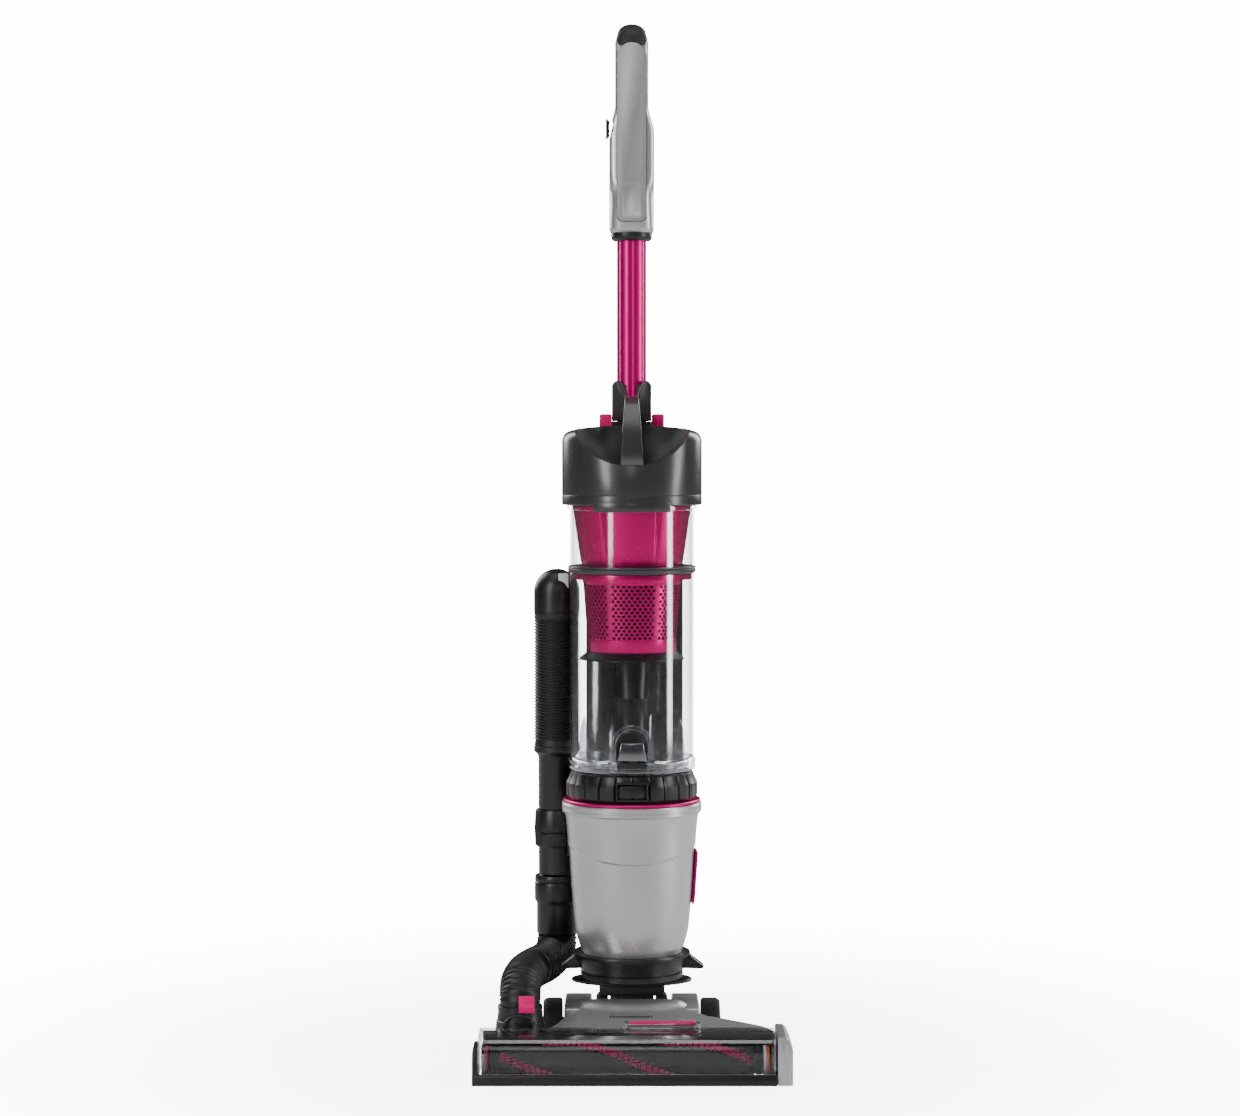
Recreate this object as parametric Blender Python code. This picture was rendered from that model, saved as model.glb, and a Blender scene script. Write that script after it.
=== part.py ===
"""Upright vacuum cleaner: a wide floor head with a motor-driven brush bar, a steerable neck,
a motor housing with the dust bin above it, a rear spine, a pull-out wand with a loop handle
and a side-mounted suction hose.

Frame: metres, +Z up, the front of the cleaner faces -Y and +X is to the right of someone who
faces it.  The origin lies on the floor, in the middle of the footprint.  Every shape below is
drawn around the upright body axis; the root empty then carries all of it back by BODY_Y.
"""

import math

import bmesh
import bpy
from mathutils import Matrix, Vector

# ---------------------------------------------------------------- driving dimensions
OVERALL_HEIGHT = 1.051
HEAD_WIDTH = 0.3094
HEAD_REACH = 0.170  # body axis to the front of the bumper
HANDLE_REACH = 0.148  # body axis to the back of the grip
BODY_Y = (HEAD_REACH - HANDLE_REACH) / 2

GAP = 0.0003  # between pieces that touch
RUNNING_GAP = 0.0008  # between pieces that turn or slide on each other
WALL = 0.0022  # moulded plastic

# Floor head
HEAD_LIFT = 0.0015  # moulded parts above the floor
BUMPER_TOP = 0.012
BUMPER_DEPTH = 0.0050
WINDOW_TOP = 0.048
WINDOW_SETBACK = 0.002  # behind the bumper's front
LEFT_CAP_WIDTH = 0.0057
RIGHT_CAP_WIDTH = 0.0147
CHAMBER_DEPTH = 0.0495
SOLE_THICKNESS = 0.0025
SOLE_Z = 0.0040
COVER_LEFT = 0.088
COVER_RIDGE = 0.0555
BRUSH_CORE_RADIUS = 0.0140
BELT_SEAT_RADIUS = 0.0115
BRISTLE_LENGTH = 0.0045
BRUSH_JOURNAL_RADIUS = 0.0040
BRUSH_CLEARANCE = 0.0020
SLEEVE = 0.0008  # backing that the bristle strips grow from
MOTOR_Y = -0.1040
MOTOR_Z = 0.0265
PULLEY_RADIUS = 0.0045
BELT_WIDTH = 0.0056
BELT_THICKNESS = 0.0012
PORT_X = -0.1105
PORT_Y = -0.0905
PORT_TOP = 0.0655
PORT_RADIUS = 0.0215

# Wheels and recline axle
AXLE_Y = 0.045
AXLE_RADIUS = 0.004
WHEEL_RADIUS = 0.0235
WHEEL_WIDTH = 0.0200
BOSS_INNER = 0.041
BOSS_WIDTH = 0.027
BOSS_RADIUS = 0.028
TRUNNION_RADIUS = 0.013

# Neck
NECK_HALF_WIDTH = 0.022
NECK_BLOCK_HALF_WIDTH = 0.033
NECK_BLOCK_Z = 0.0620
NECK_TOP = 0.0768
SPIGOT_RADIUS = 0.030

# Base collar and motor housing
COLLAR_RADIUS = 0.052
COLLAR_LIP_RADIUS = 0.0595
HOUSING_Z = 0.104
HOUSING_HEIGHT = 0.1525
HOUSING_RIM_RADIUS = 0.0707
RIM_HEIGHT = 0.010
TRIM_HEIGHT = 0.0032
MOTOR_RING_HEIGHT = 0.0277

# Dust bin
BIN_RADIUS = 0.0626
BIN_WALL = 0.0020
BIN_BASE_HEIGHT = 0.0140
LOWER_SHELL_HEIGHT = 0.1855
SEAL_HEIGHT = 0.0070
UPPER_SHELL_HEIGHT = 0.0610
CAP_RADIUS = 0.0707
CAP_HEIGHT = 0.0820
SHROUD_RADIUS = BIN_RADIUS - 0.0131
CYCLONE_RADIUS = 0.020

# Spine, wand and handle
WAND_RADIUS = 0.0154
WAND_WALL = 0.0015
SPINE_WALL = 0.0025
SOCKET_HEIGHT = 0.042
HANDLE_HEIGHT = 0.215
WAND_COLLAR_HEIGHT = 0.008
SWITCH_HEIGHT = 0.105
SWITCH_RADIUS = 0.0105
SWITCH_TRAVEL = 0.0020

# Suction hose on the left
HOSE_X = -0.077
HOSE_Y = 0.052
STRETCH_RADIUS = 0.0236
GRIP_TUBE_RADIUS = 0.0190
LOWER_HOSE_RADIUS = 0.0205
HOSE_WALL = 0.0022
CUFF_BOTTOM = 0.1140
CUFF_TOP = 0.1740

# ---------------------------------------------------------------- derived levels
HEAD_HALF = HEAD_WIDTH / 2
BUMPER_Y = -HEAD_REACH
WINDOW_Y = BUMPER_Y + WINDOW_SETBACK
CHAMBER_BACK = WINDOW_Y + CHAMBER_DEPTH
BRISTLE_RADIUS = BRUSH_CORE_RADIUS + BRISTLE_LENGTH
BRUSH_Z = BRISTLE_RADIUS + BRUSH_CLEARANCE
BRUSH_Y = (WINDOW_Y + WALL + CHAMBER_BACK) / 2
SOLE_TOP = SOLE_Z + SOLE_THICKNESS
BELT_X = HEAD_HALF - RIGHT_CAP_WIDTH - WALL - 0.0150
HOUSING_TOP = HOUSING_Z + HOUSING_HEIGHT
MOTOR_RING_Z = HOUSING_TOP + GAP + TRIM_HEIGHT + GAP
BIN_Z = MOTOR_RING_Z + MOTOR_RING_HEIGHT + GAP
LOWER_SHELL_Z = BIN_Z + BIN_BASE_HEIGHT + GAP
SEAL_Z = LOWER_SHELL_Z + LOWER_SHELL_HEIGHT + GAP
UPPER_SHELL_Z = SEAL_Z + SEAL_HEIGHT + GAP
SHELL_TOP = UPPER_SHELL_Z + UPPER_SHELL_HEIGHT
CAP_Z = SHELL_TOP + GAP
CAP_TOP = CAP_Z + CAP_HEIGHT
SPINE_FRONT = HOUSING_RIM_RADIUS + 0.0005
WAND_Y = SPINE_FRONT + SPINE_WALL + WAND_RADIUS + GAP
SPINE_BACK = WAND_Y + WAND_RADIUS + GAP + SPINE_WALL
SOCKET_Z = CAP_TOP + 0.0025
SOCKET_TOP = SOCKET_Z + SOCKET_HEIGHT
HANDLE_Z = OVERALL_HEIGHT - HANDLE_HEIGHT
WAND_COLLAR_Z = HANDLE_Z - WAND_COLLAR_HEIGHT
INLET_Z = SEAL_Z - 0.0210


# ---------------------------------------------------------------- shape helpers
def paint(name, colour, roughness, metallic=0.0, alpha=1.0):
    """A Principled material; an alpha below 1 makes a clear plastic."""
    material = bpy.data.materials.get(name)
    if material:
        return material
    material = bpy.data.materials.new(name)
    material.use_nodes = True
    shader = material.node_tree.nodes["Principled BSDF"]
    shader.inputs["Base Color"].default_value = (*colour, 1.0)
    shader.inputs["Roughness"].default_value = roughness
    shader.inputs["Metallic"].default_value = metallic
    shader.inputs["Alpha"].default_value = alpha
    return material


def black():
    return paint("black_plastic", (0.012, 0.012, 0.013), 0.45)


def rubber():
    return paint("black_rubber", (0.010, 0.010, 0.010), 0.80)


def silver():
    return paint("silver_paint", (0.42, 0.42, 0.43), 0.35, 0.6)


def dark_grey():
    return paint("dark_grey_plastic", (0.07, 0.07, 0.075), 0.38)


def pink():
    return paint("pink_metallic", (0.85, 0.012, 0.19), 0.28, 0.5)


def clear():
    return paint("clear_plastic", (0.92, 0.93, 0.93), 0.06, 0.0, 0.22)


def steel():
    return paint("steel", (0.55, 0.55, 0.56), 0.3, 1.0)


def white():
    return paint("white_felt", (0.80, 0.80, 0.78), 0.9)


def solid(name, bm, material=None, smooth_angle=32):
    """Makes a scene object from a closed bmesh, faces outwards, round faces shaded smooth."""
    bmesh.ops.remove_doubles(bm, verts=bm.verts, dist=1e-7)
    bmesh.ops.recalc_face_normals(bm, faces=bm.faces)
    mesh = bpy.data.meshes.new(name)
    bm.to_mesh(mesh)
    bm.free()
    obj = bpy.data.objects.new(name, mesh)
    bpy.context.scene.collection.objects.link(obj)
    if material:
        mesh.materials.append(material)
    mesh.shade_smooth()
    mesh.set_sharp_from_angle(angle=math.radians(smooth_angle))
    return obj


def turned(name, profile, material=None, segments=40, start=0.0, sweep=360.0):
    """Turns a closed (radius, z) outline about Z; a sweep under 360 degrees gets flat ends."""
    bm = bmesh.new()
    full = sweep >= 360.0
    steps = segments if full else max(2, round(segments * sweep / 360.0))
    count = steps if full else steps + 1
    rings = []
    for index in range(count):
        angle = math.radians(start + sweep * index / steps)
        ring = []
        for radius, z in profile:
            if radius < 1e-9 and index:
                ring.append(rings[0][len(ring)])
            else:
                ring.append(bm.verts.new((radius * math.cos(angle), radius * math.sin(angle), z)))
        rings.append(ring)
    pairs = [(i, (i + 1) % count) for i in range(count if full else count - 1)]
    size = len(profile)
    for first, second in pairs:
        for edge in range(size):
            following = (edge + 1) % size
            corners = [rings[first][edge], rings[first][following],
                       rings[second][following], rings[second][edge]]
            unique = list(dict.fromkeys(corners))
            if len(unique) > 2:
                bm.faces.new(unique)
    if not full:
        bm.faces.new(rings[0])
        bm.faces.new(list(reversed(rings[-1])))
    return solid(name, bm, material)


def shell_profile(outer, wall, floor=None):
    """Closes an outer (radius, z) line, bottom to top, into a wall; floor adds a closed bottom."""
    inner = [(radius - wall, z) for radius, z in reversed(outer)]
    if floor is None:
        return outer + inner
    base = outer[0][1] + floor
    inner = [(radius, z) for radius, z in inner if z > base]
    return [(0.0, outer[0][1])] + outer + inner + [(outer[0][0] - wall, base), (0.0, base)]


def prism(name, outline, low, high, material=None, plane="XY"):
    """Extrudes a closed outline; plane XY extrudes along Z, YZ along X and XZ along Y."""
    places = {
        "XY": lambda a, b, c: (a, b, c),
        "YZ": lambda a, b, c: (c, a, b),
        "XZ": lambda a, b, c: (a, c, b),
    }
    place = places[plane]
    bm = bmesh.new()
    bottom = [bm.verts.new(place(a, b, low)) for a, b in outline]
    top = [bm.verts.new(place(a, b, high)) for a, b in outline]
    bm.faces.new(bottom)
    bm.faces.new(list(reversed(top)))
    for index in range(len(outline)):
        following = (index + 1) % len(outline)
        bm.faces.new((bottom[index], top[index], top[following], bottom[following]))
    return solid(name, bm, material)


def block(name, x, y, z, material=None):
    """A box between two limits on each axis."""
    return prism(name, [(x[0], y[0]), (x[1], y[0]), (x[1], y[1]), (x[0], y[1])], z[0], z[1], material)


def rod(name, radius, low, high, centre=(0.0, 0.0), axis="Z", material=None, segments=20):
    """A cylinder between two limits on one axis, round the centre given on the other two."""
    circle = []
    for index in range(segments):
        angle = 2 * math.pi * index / segments
        circle.append((centre[0] + radius * math.cos(angle), centre[1] + radius * math.sin(angle)))
    return prism(name, circle, low, high, material, {"Z": "XY", "X": "YZ", "Y": "XZ"}[axis])


def rounded(corners, radius, steps=4):
    """Replaces each corner of an outline with an arc of the given radius."""
    outline = []
    count = len(corners)
    for index, corner in enumerate(corners):
        here = Vector(corner)
        before = Vector(corners[index - 1]) - here
        after = Vector(corners[(index + 1) % count]) - here
        half = before.angle(after) / 2
        reach = min(radius / math.tan(half), 0.49 * before.length, 0.49 * after.length)
        start = here + before.normalized() * reach
        end = here + after.normalized() * reach
        for step in range(steps + 1):
            t = step / steps
            outline.append(tuple(start * (1 - t) ** 2 + here * 2 * t * (1 - t) + end * t ** 2))
    return outline


def inset(outline, distance):
    """Moves each side of a counter-clockwise outline inwards."""
    moved = []
    count = len(outline)
    for index, corner in enumerate(outline):
        here = Vector(corner)
        incoming = (here - Vector(outline[index - 1])).normalized()
        outgoing = (Vector(outline[(index + 1) % count]) - here).normalized()
        normal_in = Vector((-incoming.y, incoming.x))
        normal_out = Vector((-outgoing.y, outgoing.x))
        along = (normal_in + normal_out).normalized()
        moved.append(tuple(here + along * (distance / max(0.3, along.dot(normal_in)))))
    return moved


def mirrored(outline):
    return [(-a, b) for a, b in reversed(outline)]


def arc(centre, radius, start, end, steps):
    """Points on an arc, in degrees."""
    points = []
    for index in range(steps + 1):
        angle = math.radians(start + (end - start) * index / steps)
        points.append((centre[0] + radius * math.cos(angle), centre[1] + radius * math.sin(angle)))
    return points


def combine(target, operation, *tools):
    """Applies a Boolean with each tool in turn and removes the tools."""
    for tool in tools:
        modifier = target.modifiers.new(operation.lower(), "BOOLEAN")
        modifier.operation = operation
        modifier.solver = "EXACT"
        modifier.object = tool
        graph = bpy.context.evaluated_depsgraph_get()
        mesh = bpy.data.meshes.new_from_object(target.evaluated_get(graph))
        target.modifiers.clear()
        material = target.data.materials[0] if target.data.materials else None
        target.data = mesh
        mesh.materials.clear()
        if material:
            mesh.materials.append(material)
        mesh.name = target.name
        bpy.data.objects.remove(tool)
    mesh = target.data
    mesh.shade_smooth()
    mesh.set_sharp_from_angle(angle=math.radians(32))
    return target


def cut(target, *tools):
    return combine(target, "DIFFERENCE", *tools)


def join(target, *tools):
    return combine(target, "UNION", *tools)


def keep(target, *tools):
    return combine(target, "INTERSECT", *tools)


def shift(obj, x=0.0, y=0.0, z=0.0):
    obj.data.transform(Matrix.Translation((x, y, z)))
    return obj


def turn(obj, angle, axis):
    obj.data.transform(Matrix.Rotation(math.radians(angle), 4, axis))
    return obj


def smooth_route(points, per_span=4):
    """Reads points from a Catmull-Rom curve through the route's own points."""
    route = [Vector(point) for point in points]
    route = [route[0] * 2 - route[1]] + route + [route[-1] * 2 - route[-2]]
    result = []
    for index in range(1, len(route) - 2):
        a, b, c, d = route[index - 1:index + 3]
        for step in range(per_span):
            t = step / per_span
            place = 0.5 * (2 * b + (c - a) * t + (2 * a - 5 * b + 4 * c - d) * t ** 2
                           + (3 * b - a - 3 * c + d) * t ** 3)
            result.append(place)
    result.append(route[-2])
    return result


def hose_tube(name, route, radius, material, wall=None, sides=20):
    """Sweeps a circle along a route; with a wall the tube is open at both ends."""
    bm = bmesh.new()
    side = Vector((1, 0, 0))
    rings = []
    for index, place in enumerate(route):
        ahead = route[min(index + 1, len(route) - 1)]
        behind = route[max(index - 1, 0)]
        along = (ahead - behind).normalized()
        if index in (0, len(route) - 1):
            along = Vector((0, 0, math.copysign(1, along.z)))  # every hose end here is level
        side = (side - along * side.dot(along)).normalized()
        up = along.cross(side)
        radii = [radius] if wall is None else [radius, radius - wall]
        for layer, size in enumerate(radii):
            ring = []
            for corner in range(sides):
                angle = 2 * math.pi * corner / sides
                ring.append(bm.verts.new(place + size * (side * math.cos(angle) + up * math.sin(angle))))
            rings.append((layer, ring))
    layers = [[ring for number, ring in rings if number == layer] for layer in (0, 1)]
    for stack in layers:
        for first, second in zip(stack, stack[1:]):
            for corner in range(sides):
                following = (corner + 1) % sides
                bm.faces.new((first[corner], first[following], second[following], second[corner]))
    for end in (0, -1):
        if wall is None:
            bm.faces.new(layers[0][end])
            continue
        for corner in range(sides):
            following = (corner + 1) % sides
            outer, inner = layers[0][end], layers[1][end]
            bm.faces.new((outer[corner], outer[following], inner[following], inner[corner]))
    return solid(name, bm, material)


# ---------------------------------------------------------------- floor head
def head_profile(top, front, back, bottom):
    """Side outline of the brush chamber: a rounded front top corner."""
    corner = 0.012
    nose = arc((front + corner, top - corner), corner, 180, 90, 5)
    return [(front, bottom)] + nose + [(back, top), (back, bottom)]


def front_bumper():
    right = HEAD_HALF - RIGHT_CAP_WIDTH - GAP
    inner = BUMPER_Y + BUMPER_DEPTH
    outline = [(-HEAD_HALF, BUMPER_Y), (right, BUMPER_Y), (right, inner), (-HEAD_HALF + 0.0085, inner),
               (-HEAD_HALF + 0.0085, CHAMBER_BACK), (-HEAD_HALF, CHAMBER_BACK)]
    outline = [(-HEAD_HALF + 0.004, BUMPER_Y), *outline[1:], (-HEAD_HALF, BUMPER_Y + 0.004)]
    return prism("front_bumper", outline, HEAD_LIFT, BUMPER_TOP, black())


def head_window():
    left = -HEAD_HALF + LEFT_CAP_WIDTH + GAP
    right = HEAD_HALF - RIGHT_CAP_WIDTH - GAP
    bottom = BUMPER_TOP + GAP
    outer = head_profile(WINDOW_TOP, WINDOW_Y, CHAMBER_BACK, bottom)
    window = prism("head_window", outer, left, right, clear(), "YZ")
    inner = head_profile(WINDOW_TOP - WALL, WINDOW_Y + WALL, CHAMBER_BACK + 0.01, bottom - 0.01)
    return cut(window, prism("inner", inner, left + WALL, right - WALL, None, "YZ"))


def side_caps():
    bottom = BUMPER_TOP + GAP
    corner = HEAD_HALF - 0.004
    left = rounded([(-HEAD_HALF, bottom), (-HEAD_HALF, 0.043), (-HEAD_HALF + LEFT_CAP_WIDTH, 0.043),
                    (-HEAD_HALF + LEFT_CAP_WIDTH, bottom)], 0.002, 2)
    prism("side_cap_left", left, WINDOW_Y + 0.001, CHAMBER_BACK - 0.002, black(), "XZ")
    inner = HEAD_HALF - RIGHT_CAP_WIDTH
    right = [(inner, HEAD_LIFT), (HEAD_HALF, HEAD_LIFT), (HEAD_HALF, 0.038), (corner, 0.045),
             (corner - 0.005, 0.0485), (inner, 0.0485)]
    prism("side_cap_right", right, BUMPER_Y + 0.0005, CHAMBER_BACK + 0.020, silver(), "XZ")


def sole_plate():
    """The plate under the head with the suction mouth, the axle recesses and two glide pads."""
    front = BUMPER_Y + BUMPER_DEPTH + GAP
    left = -HEAD_HALF + 0.0085 + GAP
    right = HEAD_HALF - RIGHT_CAP_WIDTH - GAP
    outline = [(left, front), (right, front), (right, CHAMBER_BACK), (0.069, -0.030), (0.069, 0.060),
               (-0.069, 0.060), (-0.069, -0.030), (left, CHAMBER_BACK)]
    plate = prism("sole_plate", outline, SOLE_Z, SOLE_TOP, black())
    mouth_front = front + 0.0035
    mouth = block("mouth", (left + 0.010, right - 0.010), (mouth_front, CHAMBER_BACK - 0.006),
                  (SOLE_Z - 0.01, SOLE_TOP + 0.01))
    axle_room = block("axle_room", (-0.034, 0.034), (AXLE_Y - 0.016, AXLE_Y + 0.0145), (0.0, 0.02))
    cut(plate, mouth, axle_room)
    pads = [rod("pad", 0.008, 0.0, SOLE_Z + 0.0005, (side * 0.105, CHAMBER_BACK + 0.004)) for side in (-1, 1)]
    return join(plate, *pads)


def head_chassis():
    """Chamber rear wall with the suction opening, bearing plates and the tray behind it."""
    low = SOLE_TOP + GAP
    left = -HEAD_HALF + LEFT_CAP_WIDTH + 2 * GAP + WALL
    right = HEAD_HALF - RIGHT_CAP_WIDTH - 2 * GAP - WALL
    back = CHAMBER_BACK + 0.0005
    wall = block("head_chassis", (left, right), (back, back + 0.0025), (low, WINDOW_TOP - WALL - 0.001), black())
    plates = []
    for start in (left, right - 0.003):
        plates.append(block("plate", (start, start + 0.003), (BRUSH_Y - 0.012, back + 0.001), (low, 0.036)))
    tray = prism("tray", [(left + 0.015, back), (right - 0.001, back), (0.066, -0.032), (0.066, 0.000),
                          (-0.066, 0.000), (-0.066, -0.032)], low, low + 0.0025)
    join(wall, *plates, tray)
    mouth = rod("mouth", 0.011, back - 0.01, back + 0.01, (PORT_X, low + 0.016), "Y")
    bores = rod("bores", BRUSH_JOURNAL_RADIUS + 0.0055, -HEAD_HALF, HEAD_HALF, (BRUSH_Y, BRUSH_Z), "X")
    return cut(wall, mouth, bores, belt_slot())


def cover_plan():
    """Plan of the grey cover, seen from above, with the neck's scoop at the back."""
    front = CHAMBER_BACK + 0.0005
    right = HEAD_HALF - RIGHT_CAP_WIDTH - GAP
    boss_outer = BOSS_INNER + BOSS_WIDTH
    boss_front = AXLE_Y - 0.010
    scoop = NECK_HALF_WIDTH + 0.016
    return [(-COVER_LEFT, front), (right, front), (right, front + 0.017), (BELT_X - 0.0108, -0.086), (BELT_X - 0.0348, -0.072),
            (boss_outer + 0.002, -0.044), (boss_outer, boss_front), (BOSS_INNER, boss_front),
            (scoop, -0.026), (-scoop, -0.026), (-BOSS_INNER, boss_front), (-boss_outer, boss_front),
            (-boss_outer - 0.002, -0.044), (-0.079, -0.085), (-COVER_LEFT, front + 0.008)]


def cover_side(drop):
    """Side outline under the cover's top surface, lowered by drop."""
    front = CHAMBER_BACK - 0.01
    return [(front, 0.0), (front, WINDOW_TOP - drop), (-0.118, WINDOW_TOP - drop),
            (-0.085, 0.0525 - drop), (-0.055, 0.0550 - drop), (-0.030, COVER_RIDGE - drop),
            (0.000, 0.0530 - drop), (0.060, 0.0480 - drop), (0.060, 0.0)]


def head_cover():
    """Grey shell over the head, with a drum on each side of the neck that holds the axle."""
    low = SOLE_TOP + 0.0030 + GAP
    plan = cover_plan()
    span = HEAD_HALF
    outer = prism("head_cover", plan, low, 0.07, silver())
    keep(outer, prism("side", cover_side(0.0), -span, span, None, "YZ"))
    room = inset(plan, WALL)
    open_front = [(room[0][0], room[0][1] - 0.01), (room[1][0], room[1][1] - 0.01)]
    inner = prism("inner", open_front + room[2:], low - 0.01, 0.07)
    keep(inner, prism("side", cover_side(WALL), -span, span, None, "YZ"))
    cut(outer, inner)
    for side in (-1, 1):
        x = sorted((side * BOSS_INNER, side * (BOSS_INNER + BOSS_WIDTH)))
        drum = rod("drum", BOSS_RADIUS, x[0], x[1], (AXLE_Y, WHEEL_RADIUS), "X")
        join(outer, drum)
    below = block("below", (-span, span), (-0.2, 0.2), (-0.02, low))
    axle_hole = rod("axle_hole", AXLE_RADIUS + GAP, -span, span, (AXLE_Y, WHEEL_RADIUS), "X")
    wall_room = block("wall_room", (-span, span), (-0.2, CHAMBER_BACK + 0.0030 + GAP),
                      (-0.01, WINDOW_TOP - WALL - 0.001 + GAP))
    return cut(outer, below, axle_hole, wall_room)


def window_release():
    """Pink push bar in the front edge of the cover."""
    front = CHAMBER_BACK + 0.0005
    bar = rounded([(-0.0035, front - 0.0035), (0.0620, front - 0.0035), (0.0620, front + 0.0035),
                   (-0.0035, front + 0.0035)], 0.0033, 3)
    return prism("window_release", bar, WINDOW_TOP + 0.0030, WINDOW_TOP + 0.0058, pink())


def hose_port():
    """Flared socket at the head's left that the lower hose drops into."""
    base = 0.0385
    outer = [(0.0245, base), (0.0245, 0.0480), (0.0238, 0.0530), (PORT_RADIUS + 0.0005, 0.0600),
             (PORT_RADIUS, PORT_TOP)]
    port = turned("hose_port", shell_profile(outer, 0.0030), black(), 32)
    shift(port, PORT_X, PORT_Y)
    back = CHAMBER_BACK + 0.0035
    duct = block("duct", (PORT_X - 0.019, PORT_X + 0.019), (back, PORT_Y + 0.0235), (0.0100, base + 0.006))
    join(port, duct)
    hollow = block("hollow", (PORT_X - 0.0165, PORT_X + 0.0165), (back - 0.01, PORT_Y + 0.016),
                   (0.0125, base + 0.002))
    throat = rod("throat", PORT_RADIUS - 0.0035, base - 0.002, 0.09, (PORT_X, PORT_Y))
    port = cut(port, hollow, throat)
    clear_of_cover = block("clear_of_cover", (-COVER_LEFT - 0.0008, 0), (-0.2, 0.0), (0.0, 0.0555))
    window_edge = block("window_edge", (-0.2, 0), (-0.2, CHAMBER_BACK + 0.0003), (0.0, 0.0485))
    return cut(port, clear_of_cover, window_edge)


def port_release_clip():
    front = PORT_Y - PORT_RADIUS - 0.0035
    outline = rounded([(-0.1110, 0.0625), (-0.0957, 0.0625), (-0.0957, 0.0790), (-0.1110, 0.0790)], 0.002, 2)
    return prism("port_release_clip", outline, front - 0.0045, front, pink(), "XZ")


def brush_roll():
    """Core with journals and a belt seat at the right, two helical bristle strips and the bearings."""
    left = -HEAD_HALF + LEFT_CAP_WIDTH + WALL + 0.008
    right = HEAD_HALF - RIGHT_CAP_WIDTH - WALL - 0.0085
    journal = 0.0035
    seat = right - 0.011
    profile = [(0, left - journal), (BRUSH_JOURNAL_RADIUS, left - journal), (BRUSH_JOURNAL_RADIUS, left),
               (BRUSH_CORE_RADIUS, left), (BRUSH_CORE_RADIUS, seat), (BELT_SEAT_RADIUS, seat),
               (BELT_SEAT_RADIUS, right), (BRUSH_JOURNAL_RADIUS, right),
               (BRUSH_JOURNAL_RADIUS, right + journal), (0, right + journal)]
    core = turned("brush_core", profile, black(), 32)
    turn(core, 90, "Y")
    shift(core, 0, BRUSH_Y, BRUSH_Z)
    near, far = left + 0.004, right - 0.012
    inner = BRUSH_CORE_RADIUS + GAP
    sleeve = turned("brush_bristles", [(inner, near), (inner + SLEEVE, near), (inner + SLEEVE, far), (inner, far)],
                    paint("pink_bristle", (0.65, 0.02, 0.16), 0.7), 18)
    turn(sleeve, 90, "Y")
    shift(sleeve, 0, BRUSH_Y, BRUSH_Z)
    join(sleeve, *[bristle_strip(start, near + 0.001, far - 0.001) for start in (0.0, 180.0)])
    for name, x in (("brush_bearing_left", left - journal - 0.0015), ("brush_bearing_right", right + 0.0006)):
        ring = [(BRUSH_JOURNAL_RADIUS + GAP, x), (BRUSH_JOURNAL_RADIUS + 0.0052, x),
                (BRUSH_JOURNAL_RADIUS + 0.0052, x + 0.0040), (BRUSH_JOURNAL_RADIUS + GAP, x + 0.0040)]
        shift(turn(turned(name, ring, white(), 24), 90, "Y"), 0, BRUSH_Y, BRUSH_Z)


def bristle_strip(start, left, right):
    """A thin helical wall of bristles standing on the core, one turn along the brush."""
    steps = 24
    bm = bmesh.new()
    rings = []
    for step in range(steps + 1):
        share = step / steps
        x = left + (right - left) * share
        ring = []
        for radius, lead in ((BRUSH_CORE_RADIUS + GAP + SLEEVE / 2, -5.0), (BRISTLE_RADIUS, -4.0),
                             (BRISTLE_RADIUS, 4.0), (BRUSH_CORE_RADIUS + GAP + SLEEVE / 2, 5.0)):
            angle = math.radians(start + 360.0 * share + lead)
            ring.append(bm.verts.new((x, radius * math.cos(angle), radius * math.sin(angle))))
        rings.append(ring)
    for first, second in zip(rings, rings[1:]):
        for edge in range(4):
            following = (edge + 1) % 4
            bm.faces.new((first[edge], first[following], second[following], second[edge]))
    bm.faces.new(rings[0])
    bm.faces.new(list(reversed(rings[-1])))
    return shift(solid("strip", bm), 0, BRUSH_Y, BRUSH_Z)


def brush_drive():
    """Small motor behind the chamber, its pulley and the belt round the brush core."""
    end = 0.095
    rod("brush_motor", 0.0110, end - 0.050, end, (MOTOR_Y, MOTOR_Z), "X", steel(), 24)
    shaft = rod("motor_pulley", 0.0016, end + GAP, BELT_X + 0.0038, (MOTOR_Y, MOTOR_Z), "X", steel(), 12)
    return join(shaft, rod("wheel", PULLEY_RADIUS, BELT_X - 0.0035, BELT_X + 0.0035, (MOTOR_Y, MOTOR_Z), "X",
                           None, 20))


def drive_belt():
    """Flat belt: the outline round both pulleys, as a closed band."""
    front = (BRUSH_Y, BRUSH_Z, BELT_SEAT_RADIUS + GAP)
    rear = (MOTOR_Y, MOTOR_Z, PULLEY_RADIUS + GAP)
    outer = belt_outline(front, rear, BELT_THICKNESS)
    belt = prism("drive_belt", outer, BELT_X - BELT_WIDTH / 2, BELT_X + BELT_WIDTH / 2, rubber(), "YZ")
    return cut(belt, prism("inner", belt_outline(front, rear, 0.0), BELT_X - BELT_WIDTH, BELT_X + BELT_WIDTH,
                           None, "YZ"))


def belt_slot():
    """Cutter for the opening that the belt runs through."""
    half = BELT_WIDTH / 2 + 0.0015
    return block("belt_slot", (BELT_X - half, BELT_X + half), (CHAMBER_BACK - 0.01, CHAMBER_BACK + 0.008),
                 (MOTOR_Z - 0.0165, MOTOR_Z + 0.0105))


def belt_outline(front, rear, grow):
    """Outer tangents of two circles (y, z, radius), joined by arcs round their far sides."""
    distance = math.hypot(rear[0] - front[0], rear[1] - front[1])
    slope = math.degrees(math.atan2(rear[1] - front[1], rear[0] - front[0]))
    lean = math.degrees(math.acos((front[2] - rear[2]) / distance))
    around_front = arc(front[:2], front[2] + grow, slope + lean, slope + 360 - lean, 14)
    around_rear = arc(rear[:2], rear[2] + grow, slope - lean, slope + lean, 10)
    return around_front + around_rear


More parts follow.
